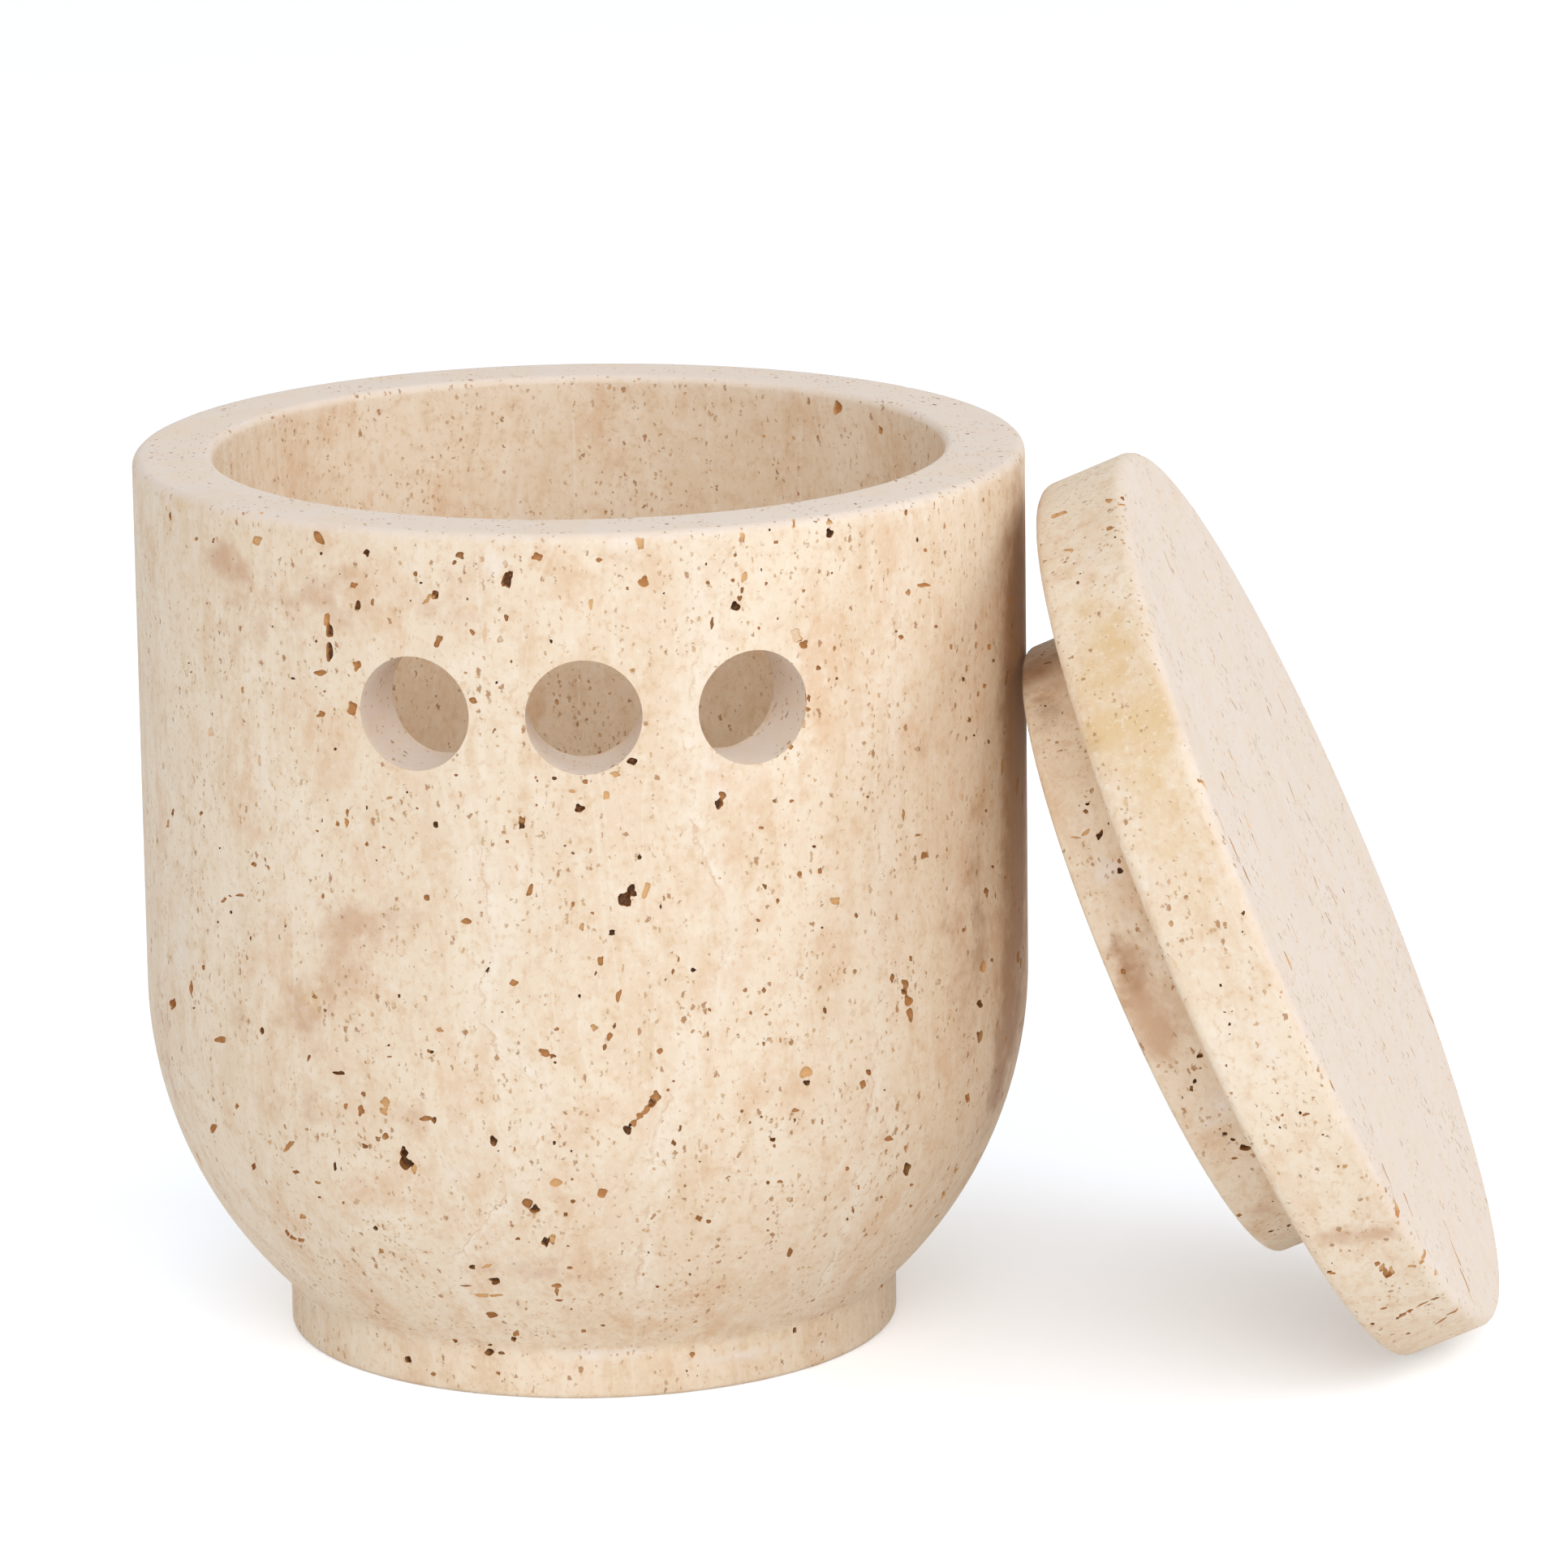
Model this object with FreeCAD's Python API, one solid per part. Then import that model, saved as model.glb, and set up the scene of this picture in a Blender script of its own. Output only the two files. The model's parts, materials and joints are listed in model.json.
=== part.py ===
import FreeCAD, Part
import math
import os

# A garlic keeper in two pieces of honed travertine: a turned jar, and a turned lid with a plug below it.
# All sizes are in millimetres. The origin is the middle of the jar's foot, on the surface that it stands on.
# +Z runs up the jar's axis, and the row of vent holes faces -Y.

# The jar: a straight wall that turns into a bowl of one arc, on a short round foot.
# Its hollow is a straight bore that ends in a half ball with a flat floor.
JAR_DIAMETER = 127.0
JAR_HEIGHT = 128.4
WALL = 11.4
BOWL_ARC_RADIUS = 61.0
BOWL_ARC_TOP = 52.0
FOOT_DIAMETER = 88.0
FLOOR_THICKNESS = 14.0

# Its edges, each broken by this much both ways, as honing leaves them
RIM_OUTER_BREAK = 1.0
RIM_INNER_BREAK = 0.9
NECK_BREAK = 1.3
FOOT_EDGE_BREAK = 0.6
CAVITY_CORNER_BREAK = 4.0

# Vent holes, drilled square to the wall
VENT_DIAMETER = 16.0
VENT_HEIGHT = 103.0
VENT_COUNT = 3
VENT_PITCH_DEG = 21.5

# The lid: a broad disc that rests on the rim, and a plug that drops into the mouth
LID_DIAMETER = 134.0
LID_THICKNESS = 13.8
PLUG_DIAMETER = 93.2
PLUG_HEIGHT = 11.3
LID_TOP_BREAK = 1.3
LID_UNDER_BREAK = 1.1
PLUG_END_BREAK = 0.7

# Where the lid leans: its edge stands on the floor, and the end of its plug leans on the jar's wall
LEAN_AZIMUTH_DEG = -7.7
LEAN_AXIS_RISE_DEG = 23.7
LEAN_OUT = 105.2
LEAN_ASIDE = -4.0

UP = FreeCAD.Vector(0, 0, 1)
ORIGIN = FreeCAD.Vector(0, 0, 0)


def spot(radius, height):
    """A point of a turned outline, by its distance from the axis and its height."""
    return FreeCAD.Vector(radius, 0, height)


def straight_outline(points):
    """The straight edges that join the points in order."""
    return [Part.LineSegment(a, b).toShape() for a, b in zip(points, points[1:])]


def turned(edges):
    """The solid that a closed outline sweeps in one full turn about the Z axis."""
    return Part.Face(Part.Wire(edges)).revolve(ORIGIN, UP, 360)


def bowl_height(radius):
    """The height at which the outside of the bowl is this far from the axis."""
    across = radius - (JAR_DIAMETER / 2 - BOWL_ARC_RADIUS)
    return BOWL_ARC_TOP - math.sqrt(BOWL_ARC_RADIUS**2 - across**2)


def hollow_radius(height):
    """How far from the axis the half ball that ends the hollow is at this height."""
    mouth = JAR_DIAMETER / 2 - WALL
    return math.sqrt(mouth**2 - (BOWL_ARC_TOP - height) ** 2)


def turned_arc(centre, radius, low, high):
    """The arc of an outline from low up to high, about its centre."""
    middle = ((low + high) * 0.5 - centre).normalize() * radius + centre
    return Part.Arc(low, middle, high).toShape()


def jar_blank():
    """The outside of the jar, solid: foot, neck, bowl arc, straight wall and rim."""
    outer = JAR_DIAMETER / 2
    foot = FOOT_DIAMETER / 2
    neck = spot(foot, bowl_height(foot) - NECK_BREAK)
    bowl_start = spot(foot + NECK_BREAK, bowl_height(foot + NECK_BREAK))
    wall_start = spot(outer, BOWL_ARC_TOP)
    foot_edge = [spot(foot - FOOT_EDGE_BREAK, 0), spot(foot, FOOT_EDGE_BREAK)]
    arc_centre = spot(outer - BOWL_ARC_RADIUS, BOWL_ARC_TOP)
    edges = straight_outline([spot(0, 0)] + foot_edge + [neck, bowl_start])
    edges.append(turned_arc(arc_centre, BOWL_ARC_RADIUS, bowl_start, wall_start))
    rim_edge = spot(outer, JAR_HEIGHT - RIM_OUTER_BREAK)
    rim = spot(outer - RIM_OUTER_BREAK, JAR_HEIGHT)
    edges += straight_outline([wall_start, rim_edge, rim, spot(0, JAR_HEIGHT), spot(0, 0)])
    return turned(edges)


def jar_hollow():
    """The space in the jar: a straight bore that ends in a half ball, cut off by a flat floor."""
    mouth = JAR_DIAMETER / 2 - WALL
    corner_top = FLOOR_THICKNESS + CAVITY_CORNER_BREAK
    corner = spot(hollow_radius(corner_top), corner_top)
    floor_edge = spot(hollow_radius(FLOOR_THICKNESS) - CAVITY_CORNER_BREAK, FLOOR_THICKNESS)
    bore_start = spot(mouth, BOWL_ARC_TOP)
    edges = straight_outline([spot(0, FLOOR_THICKNESS), floor_edge, corner])
    edges.append(turned_arc(spot(0, BOWL_ARC_TOP), mouth, corner, bore_start))
    lip = spot(mouth, JAR_HEIGHT - RIM_INNER_BREAK)
    above = spot(mouth + 2 * RIM_INNER_BREAK, JAR_HEIGHT + RIM_INNER_BREAK)
    edges += straight_outline([bore_start, lip, above, spot(0, above.z), spot(0, FLOOR_THICKNESS)])
    return turned(edges)


def vent(index):
    """One drilled hole, square to the wall."""
    turn = math.radians((index - (VENT_COUNT - 1) / 2) * VENT_PITCH_DEG)
    outward = FreeCAD.Vector(math.sin(turn), -math.cos(turn), 0)
    start = outward * (JAR_DIAMETER / 2 - 2 * WALL) + UP * VENT_HEIGHT
    return Part.makeCylinder(VENT_DIAMETER / 2, 3 * WALL, start, outward)


def make_jar():
    """The jar, hollowed, with its vents drilled."""
    jar = jar_blank().cut(jar_hollow())
    for index in range(VENT_COUNT):
        jar = jar.cut(vent(index))
    return jar.Solids[0]


def lid_shape():
    """The lid about the Z axis, with the middle of its outer face at the origin and its plug below."""
    outer = LID_DIAMETER / 2
    plug = PLUG_DIAMETER / 2
    under = -LID_THICKNESS
    end = under - PLUG_HEIGHT
    top_edge = [spot(outer - LID_TOP_BREAK, 0), spot(outer, -LID_TOP_BREAK)]
    under_edge = [spot(outer, under + LID_UNDER_BREAK), spot(outer - LID_UNDER_BREAK, under)]
    plug_edge = [spot(plug, under), spot(plug, end + PLUG_END_BREAK), spot(plug - PLUG_END_BREAK, end)]
    points = [spot(0, 0)] + top_edge + under_edge + plug_edge + [spot(0, end), spot(0, 0)]
    return turned(straight_outline(points))


def leaning(lid):
    """The lid turned to its lean and set down: the disc's lower edge just meets the floor."""
    azimuth = math.radians(LEAN_AZIMUTH_DEG)
    rise = math.radians(LEAN_AXIS_RISE_DEG)
    outward = FreeCAD.Vector(math.cos(azimuth), math.sin(azimuth), 0)
    aside = FreeCAD.Vector(-math.sin(azimuth), math.cos(azimuth), 0)
    axis = outward * math.cos(rise) + UP * math.sin(rise)
    centre_height = (LID_THICKNESS - LID_UNDER_BREAK) * math.sin(rise) + LID_DIAMETER / 2 * math.cos(rise)
    centre = outward * LEAN_OUT + aside * LEAN_ASIDE + UP * centre_height
    placed = lid.copy()
    placed.Placement = FreeCAD.Placement(centre, FreeCAD.Rotation(UP, axis))
    return placed


def main():
    os.makedirs("parts", exist_ok=True)
    jar = make_jar()
    lid = leaning(lid_shape())
    jar.exportStep("parts/jar.step")
    lid.exportStep("parts/lid.step")
    for name, solid in (("jar", jar), ("lid", lid)):
        box = solid.optimalBoundingBox(False, False)
        print(name, solid.ShapeType, solid.isValid(), round(solid.Volume), "mm3")
        print("  from", [round(v, 2) for v in (box.XMin, box.YMin, box.ZMin)], end=" ")
        print("to", [round(v, 2) for v in (box.XMax, box.YMax, box.ZMax)])
    print("gap between lid and jar", round(jar.distToShape(lid)[0], 3), "mm")


main()
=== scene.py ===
"""A garlic keeper in honed travertine: a turned jar with three vents, and a turned lid that leans on it."""

import json
import logging
import math
from dataclasses import dataclass
from enum import Enum
from typing import Optional, Sequence

import bpy
import numpy as np
from mathutils import Matrix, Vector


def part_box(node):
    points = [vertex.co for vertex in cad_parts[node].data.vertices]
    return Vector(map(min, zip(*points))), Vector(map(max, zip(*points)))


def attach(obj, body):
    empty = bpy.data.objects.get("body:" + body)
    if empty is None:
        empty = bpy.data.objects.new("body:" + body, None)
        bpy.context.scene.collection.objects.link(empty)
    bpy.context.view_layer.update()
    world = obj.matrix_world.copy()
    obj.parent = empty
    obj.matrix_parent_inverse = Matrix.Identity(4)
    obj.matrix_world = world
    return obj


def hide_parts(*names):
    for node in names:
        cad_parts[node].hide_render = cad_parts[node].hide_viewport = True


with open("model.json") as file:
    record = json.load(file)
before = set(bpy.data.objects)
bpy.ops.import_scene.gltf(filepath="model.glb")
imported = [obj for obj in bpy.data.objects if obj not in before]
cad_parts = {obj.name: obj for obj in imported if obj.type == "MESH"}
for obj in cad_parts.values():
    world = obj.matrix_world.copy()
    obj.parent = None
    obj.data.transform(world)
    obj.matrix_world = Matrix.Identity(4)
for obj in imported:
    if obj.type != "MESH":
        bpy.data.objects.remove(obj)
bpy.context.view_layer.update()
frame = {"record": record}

Tree = bpy.types.NodeTree
Socket = bpy.types.NodeSocket

MM = 0.001
log = logging.getLogger("garlic_keeper")

# The holes, in millimetres: how deep a vertex lies before it counts as part of a hole, the size below which a
# hole gets a simpler lump, and the least depth of a hole
SKIN = 0.025
SMALL_HOLE = 1.2
SHALLOWEST = 0.12

# Shares of a hole's own size: half the lump's height, its mouth against its waist, and the room that it keeps
# to its neighbours in a group
LUMP_HALF = 0.64
OPENING = 0.83
HOLE_REACH = 0.8

# The share of a hole's crust and painted shade that its lip has, and the share of its depth at which the
# painted shade is darkest
LIP_CRUST_AND_SHADE = 0.45
DARKEST_AT = 0.7

# How many vertices are matched with their holes at once
AT_ONCE = 2000

# The veins: how far to the side they are measured, in millimetres, and how fast they fade past their ends
VEIN_REACH = 12.0
VEIN_FADE = 0.4

# Edges between faces that meet at more than this stay crisp
EDGE_ANGLE_DEG = 32.0

UP = np.array([0.0, 0.0, 1.0])


class Tone(Enum):
    """How deep a hole in the stone looks: the number is its depth as a share of its narrower width."""

    DARK = 0.85
    BROWN = 0.42
    OCHRE = 0.28
    FAINT = 0.14


DARK, BROWN, OCHRE, FAINT = Tone
# How dark the bottom of a hole of each tone is painted, from 0 to 1: ochre crust, then painted shade that
# deepens with the hole
CRUST_AND_SHADE_BY_TONE = {DARK: 0.95, BROWN: 0.6, OCHRE: 0.32, FAINT: 0.14}

HoleRow = tuple[float, float, float, float, Tone, float]


def axes_matrix(x: np.ndarray, y: np.ndarray, z: np.ndarray, place: Sequence[float]) -> Matrix:
    """Make the matrix that has these axes and this origin."""
    matrix = np.eye(4)
    matrix[:3] = np.stack([x, y, z, place], axis=1)
    return Matrix(matrix.tolist())


@dataclass(frozen=True)
class PhotoCamera:
    """The camera that took the photograph, as fitted to the jar's outlines. Lengths are in millimetres."""

    distance: float = 1201.6
    height: float = 364.85
    turn: float = 0.0238
    tilt: float = 0.2342
    roll: float = -0.0131
    focal_pixels: float = 10587.0
    side_pixels: int = 1932
    sensor: float = 36.0

    @property
    def place(self) -> np.ndarray:
        """Where the camera stands."""
        return np.array([0.0, -self.distance, self.height])

    def axes(self) -> tuple[np.ndarray, np.ndarray, np.ndarray]:
        """Work out the directions of the picture.

        Returns:
            The unit vectors to the right of the picture, up it and into it.
        """
        into = np.array([
            math.sin(self.turn) * math.cos(self.tilt),
            math.cos(self.turn) * math.cos(self.tilt),
            -math.sin(self.tilt),
        ])
        right = np.cross(into, UP)
        right /= np.linalg.norm(right)
        up = np.cross(right, into)
        cosine = math.cos(self.roll)
        sine = math.sin(self.roll)
        return cosine * right + sine * up, -sine * right + cosine * up, into

    def rays(self, pixels: np.ndarray) -> np.ndarray:
        """Find the directions in which pixels look.

        Args:
            pixels: One row of x and y for each pixel of the photograph.

        Returns:
            One unit vector for each pixel.
        """
        right, up, into = self.axes()
        middle = self.side_pixels / 2
        across = (pixels[:, :1] - middle) / self.focal_pixels
        down = (pixels[:, 1:2] - middle) / self.focal_pixels
        rays = into + across * right - down * up
        return rays / np.linalg.norm(rays, axis=1, keepdims=True)

    def build(self) -> bpy.types.Object:
        """Make the camera of the scene.

        Returns:
            The camera object.
        """
        data = bpy.data.cameras.new("camera")
        data.sensor_width = self.sensor
        data.sensor_height = self.sensor
        data.lens = self.sensor * self.focal_pixels / self.side_pixels
        data.clip_start = 0.05
        data.clip_end = 100.0
        camera = bpy.data.objects.new("camera", data)
        bpy.context.scene.collection.objects.link(camera)
        right, up, into = self.axes()
        camera.matrix_world = axes_matrix(right, up, -into, self.place * MM)
        bpy.context.scene.camera = camera
        return camera


CAMERA = PhotoCamera()


def arc_points(centre: Sequence[float], radius: float, start: float, end: float, step: float) -> np.ndarray:
    """Sample an arc evenly: each point is the centre plus the radius times the cosine and sine of its angle.

    Args:
        centre: Distance from the axis and height of the arc's centre.
        radius: The arc's radius.
        start: The first angle, in radians, from the outward direction.
        end: The last angle.
        step: The length of a step along the arc.

    Returns:
        One row of distance and height for each point.
    """
    count = max(2, int(abs(end - start) * radius / step) + 1)
    angles = np.linspace(start, end, count)
    return np.stack([centre[0] + radius * np.cos(angles), centre[1] + radius * np.sin(angles)], axis=1)


def round_corner(
    before: np.ndarray, corner: np.ndarray, after: np.ndarray, radius: float, count: int
) -> np.ndarray:
    """Replace a corner by the arc that touches both of its sides.

    The arc's ends lie at the radius over the tangent of half the corner's angle from the corner, and its
    centre on the line that halves that angle.

    Args:
        before: A point on the side that comes in.
        corner: The corner itself.
        after: A point on the side that goes out.
        radius: The arc's radius.
        count: How many points the arc gets.

    Returns:
        The arc's points in order.
    """
    back = (before - corner) / np.linalg.norm(before - corner)
    ahead = (after - corner) / np.linalg.norm(after - corner)
    half = math.acos(float(np.clip(back @ ahead, -1, 1))) / 2
    reach = radius / math.tan(half)
    centre = corner + (back + ahead) / np.linalg.norm(back + ahead) * radius / math.sin(half)
    first = corner + back * reach - centre
    last = corner + ahead * reach - centre
    share = np.linspace(0, 1, count)[:, None]
    chord = first * (1 - share) + last * share
    return centre + chord / np.linalg.norm(chord, axis=1, keepdims=True) * radius


def spaced(points: Sequence[np.ndarray], step: float) -> np.ndarray:
    """Fill the long straight runs of an outline with evenly spaced points.

    Args:
        points: The outline's points in order.
        step: The longest run that may stay.

    Returns:
        The outline with the added points.
    """
    rows = [points[0]]
    for start, end in zip(points, points[1:]):
        count = max(1, int(np.linalg.norm(end - start) / step))
        rows.extend(start + (end - start) * k / count for k in range(1, count + 1))
    return np.array(rows)


def tube_faces(rows: int, sides: int) -> list[list[int]]:
    """List the faces of a tube of rings that is closed by a pole at each end.

    Args:
        rows: How many rings there are. Their vertices come first, ring by ring, and then the two poles.
        sides: How many vertices a ring has.

    Returns:
        The vertex numbers of each face: first those between the rings, then the fan about each pole.
    """
    row, column = np.meshgrid(np.arange(rows - 1), np.arange(sides), indexing="ij")
    following = (column + 1) % sides
    corners = [
        row * sides + column,
        row * sides + following,
        (row + 1) * sides + following,
        (row + 1) * sides + column,
    ]
    faces = np.stack(corners, axis=2).reshape(-1, 4).tolist()
    first = np.arange(sides)
    second = (first + 1) % sides
    last = (rows - 1) * sides
    pole = rows * sides
    faces += np.stack([np.full(sides, pole), second, first], axis=1).tolist()
    faces += np.stack([np.full(sides, pole + 1), last + first, last + second], axis=1).tolist()
    return faces


@dataclass
class TurnedForm:
    """A closed form turned about the Z axis from an outline of distances and heights, in millimetres.

    The outline starts and ends on the axis, and the form lies to its left as it is walked.
    """

    outline: np.ndarray
    turns: int

    def mesh(self) -> tuple[np.ndarray, list[list[int]]]:
        """Sweep the outline: a vertex is the distance times the cosine and sine of its turn, and its height.

        Returns:
            The vertices, and the vertex numbers of each face.
        """
        rows = self.outline[1:-1]
        angles = np.linspace(0, 2 * math.pi, self.turns, endpoint=False)
        x = rows[:, :1] * np.cos(angles)
        y = rows[:, :1] * np.sin(angles)
        z = np.repeat(rows[:, 1:], self.turns, axis=1)
        ring = np.stack([x, y, z], axis=2).reshape(-1, 3)
        poles = [[0, 0, self.outline[0, 1]], [0, 0, self.outline[-1, 1]]]
        return np.vstack([ring, poles]), tube_faces(len(rows), self.turns)

    def nearest(self, points: np.ndarray) -> tuple[np.ndarray, np.ndarray, np.ndarray]:
        """Find the nearest place on the surface to each point, in the plane of the axis and the point.

        Args:
            points: One row of coordinates for each point.

        Returns:
            The distance to the surface, the outward normal there, and the distance along the outline.
        """
        start = self.outline[:-1]
        run = self.outline[1:] - start
        length = np.linalg.norm(run, axis=1)
        along = np.concatenate([[0], np.cumsum(length)])[:-1]
        radius = np.hypot(points[:, 0], points[:, 1])
        best = np.full(len(points), np.inf)
        place = np.zeros(len(points))
        slope = np.zeros((len(points), 2))
        for k in range(len(run)):
            out = radius - start[k, 0]
            rise = points[:, 2] - start[k, 1]
            share = np.clip((out * run[k, 0] + rise * run[k, 1]) / length[k] ** 2, 0, 1)
            gap = np.hypot(out - share * run[k, 0], rise - share * run[k, 1])
            closer = gap < best
            best[closer] = gap[closer]
            place[closer] = along[k] + share[closer] * length[k]
            slope[closer] = run[k] / length[k]
        safe = np.maximum(radius, 1e-9)
        normal = np.stack([
            slope[:, 1] * points[:, 0] / safe,
            slope[:, 1] * points[:, 1] / safe,
            -slope[:, 0],
        ], axis=1)
        return best, normal, place

    def spot(self, along: np.ndarray, turn: np.ndarray) -> np.ndarray:
        """Give the points on the surface at these distances along the outline and these turns.

        Args:
            along: Distances along the outline from its first point.
            turn: Angles about the axis in radians.

        Returns:
            One row of coordinates for each pair.
        """
        length = np.concatenate([[0], np.cumsum(np.linalg.norm(np.diff(self.outline, axis=0), axis=1))])
        radius = np.interp(along, length, self.outline[:, 0])
        height = np.interp(along, length, self.outline[:, 1])
        return np.stack([radius * np.cos(turn), radius * np.sin(turn), height], axis=1)

    def inside(self, points: np.ndarray) -> np.ndarray:
        """Tell which points lie in the form: a line out from each crosses the outline an odd number of times.

        Args:
            points: An array whose last axis holds coordinates.

        Returns:
            True for each point in the form.
        """
        radius = np.hypot(points[..., 0], points[..., 1])
        height = points[..., 2]
        odd = np.zeros(radius.shape, bool)
        for (r0, z0), (r1, z1) in zip(self.outline, self.outline[1:]):
            if z0 == z1:
                continue
            spans = (z0 > height) != (z1 > height)
            odd ^= spans & (radius < r0 + (height - z0) / (z1 - z0) * (r1 - r0))
        return odd


@dataclass(frozen=True)
class Hole:
    """One hole in the stone: the middle of its opening, the two axes that span it, and its depth.

    Lengths are in millimetres. The crust and shade is how dark the hole is painted at its bottom, from 0 to
    1: partly the stone's ochre crust, partly painted shade.
    """

    place: np.ndarray
    across: np.ndarray
    upward: np.ndarray
    normal: np.ndarray
    deep: float
    crust_and_shade: float
    seed: int

    @property
    def size(self) -> float:
        """The longest of its three sizes."""
        return max(float(np.linalg.norm(self.across)), float(np.linalg.norm(self.upward)), self.deep)

    def lump(self) -> tuple[np.ndarray, list[list[int]]]:
        """Make the lump that cuts the hole: a ball squashed to the hole's sizes, with a wavy waist.

        The radius is one plus three waves around the ball, each with its own strength and start, times a
        slower wave from pole to pole. The middle lies a little below the surface, so the walls go down
        steeply, and the mouth is narrower than the waist by the share OPENING.

        Returns:
            The lump's vertices and faces.
        """
        draw = np.random.default_rng(self.seed)
        small = self.size < SMALL_HOLE
        rings = 4 if small else 6
        sides = 8 if small else 14
        polar = np.linspace(0, math.pi, rings + 2)[1:-1, None]
        around = np.linspace(0, 2 * math.pi, sides, endpoint=False)[None, :]
        strength = draw.uniform(0.04, 0.2, 3)
        start = draw.uniform(0, 2 * math.pi, 3)
        wave = sum(strength[k] * np.cos((k + 2) * around + start[k]) for k in range(3))
        radius = (1 + wave) * (1 + 0.12 * np.cos(2 * polar + start[0]))
        x = radius * np.sin(polar) * np.cos(around) / 2 / OPENING
        y = radius * np.sin(polar) * np.sin(around) / 2 / OPENING
        z = np.cos(polar) * np.ones_like(around) * LUMP_HALF
        ball = np.stack([x, y, z], axis=2).reshape(-1, 3)
        ball = np.vstack([ball, [0, 0, LUMP_HALF], [0, 0, -LUMP_HALF]])
        ball[:, 2] -= 1 - LUMP_HALF
        axes = np.stack([self.across, self.upward, self.normal * self.deep])
        # The rings run from the top down, so each face is turned over
        faces = [face[:1] + face[:0:-1] for face in tube_faces(rings, sides)]
        return self.place + ball @ axes, faces


def make_object(name: str, vertices: np.ndarray, faces: Sequence[Sequence[int]]) -> bpy.types.Object:
    """Put vertices in millimetres and faces into a new object at the origin.

    Args:
        name: The object's name.
        vertices: One row of coordinates for each vertex.
        faces: The vertex numbers of each face, counterclockwise from outside.

    Returns:
        The object, linked into the scene.
    """
    mesh = bpy.data.meshes.new(name)
    mesh.from_pydata((vertices * MM).tolist(), [], faces)
    piece = bpy.data.objects.new(name, mesh)
    bpy.context.scene.collection.objects.link(piece)
    return piece


def vertex_array(piece: bpy.types.Object) -> np.ndarray:
    """Read a mesh's vertices in millimetres, one row each."""
    flat = np.empty(len(piece.data.vertices) * 3, np.float32)
    piece.data.vertices.foreach_get("co", flat)
    return flat.reshape(-1, 3).astype(float) / MM


def cut(piece: bpy.types.Object, vertices: np.ndarray, faces: Sequence[Sequence[int]]) -> None:
    """Take closed lumps that don't meet each other out of a piece, and keep the result as its mesh.

    Args:
        piece: The piece to cut.
        vertices: The lumps' vertices in millimetres.
        faces: The lumps' faces.
    """
    cutter = make_object("cutter", vertices, faces)
    modifier = piece.modifiers.new("cut", "BOOLEAN")
    modifier.operation = "DIFFERENCE"
    modifier.solver = "MANIFOLD"
    modifier.object = cutter
    bpy.context.view_layer.update()
    result = bpy.data.meshes.new_from_object(piece.evaluated_get(bpy.context.evaluated_depsgraph_get()))
    piece.modifiers.remove(modifier)
    old = piece.data
    piece.data = result
    bpy.data.meshes.remove(old)
    bpy.data.objects.remove(cutter)


def separate_groups(holes: Sequence[Hole]) -> list[list[Hole]]:
    """Share holes out so that no two in a group come near each other.

    Args:
        holes: All the holes of a piece.

    Returns:
        The groups, each a list of holes.
    """
    places = np.array([hole.place for hole in holes])
    reach = np.array([HOLE_REACH * hole.size for hole in holes])
    group = np.full(len(holes), -1)
    for k in range(len(holes)):
        near = np.linalg.norm(places[:k] - places[k], axis=1) < reach[:k] + reach[k]
        taken = set(group[:k][near].tolist())
        group[k] = next(n for n in range(len(holes)) if n not in taken)
    return [[holes[k] for k in np.flatnonzero(group == n)] for n in range(group.max() + 1)]


def cut_holes(piece: bpy.types.Object, holes: Sequence[Hole]) -> None:
    """Cut all holes into a piece, one group of separate ones at a time.

    Args:
        piece: The piece to cut.
        holes: The holes.
    """
    for group in separate_groups(holes):
        vertices = []
        faces: list[list[int]] = []
        count = 0
        for hole in group:
            lump, sides = hole.lump()
            vertices.append(lump)
            faces.extend([index + count for index in face] for face in sides)
            count += len(lump)
        cut(piece, np.vstack(vertices), faces)


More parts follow.
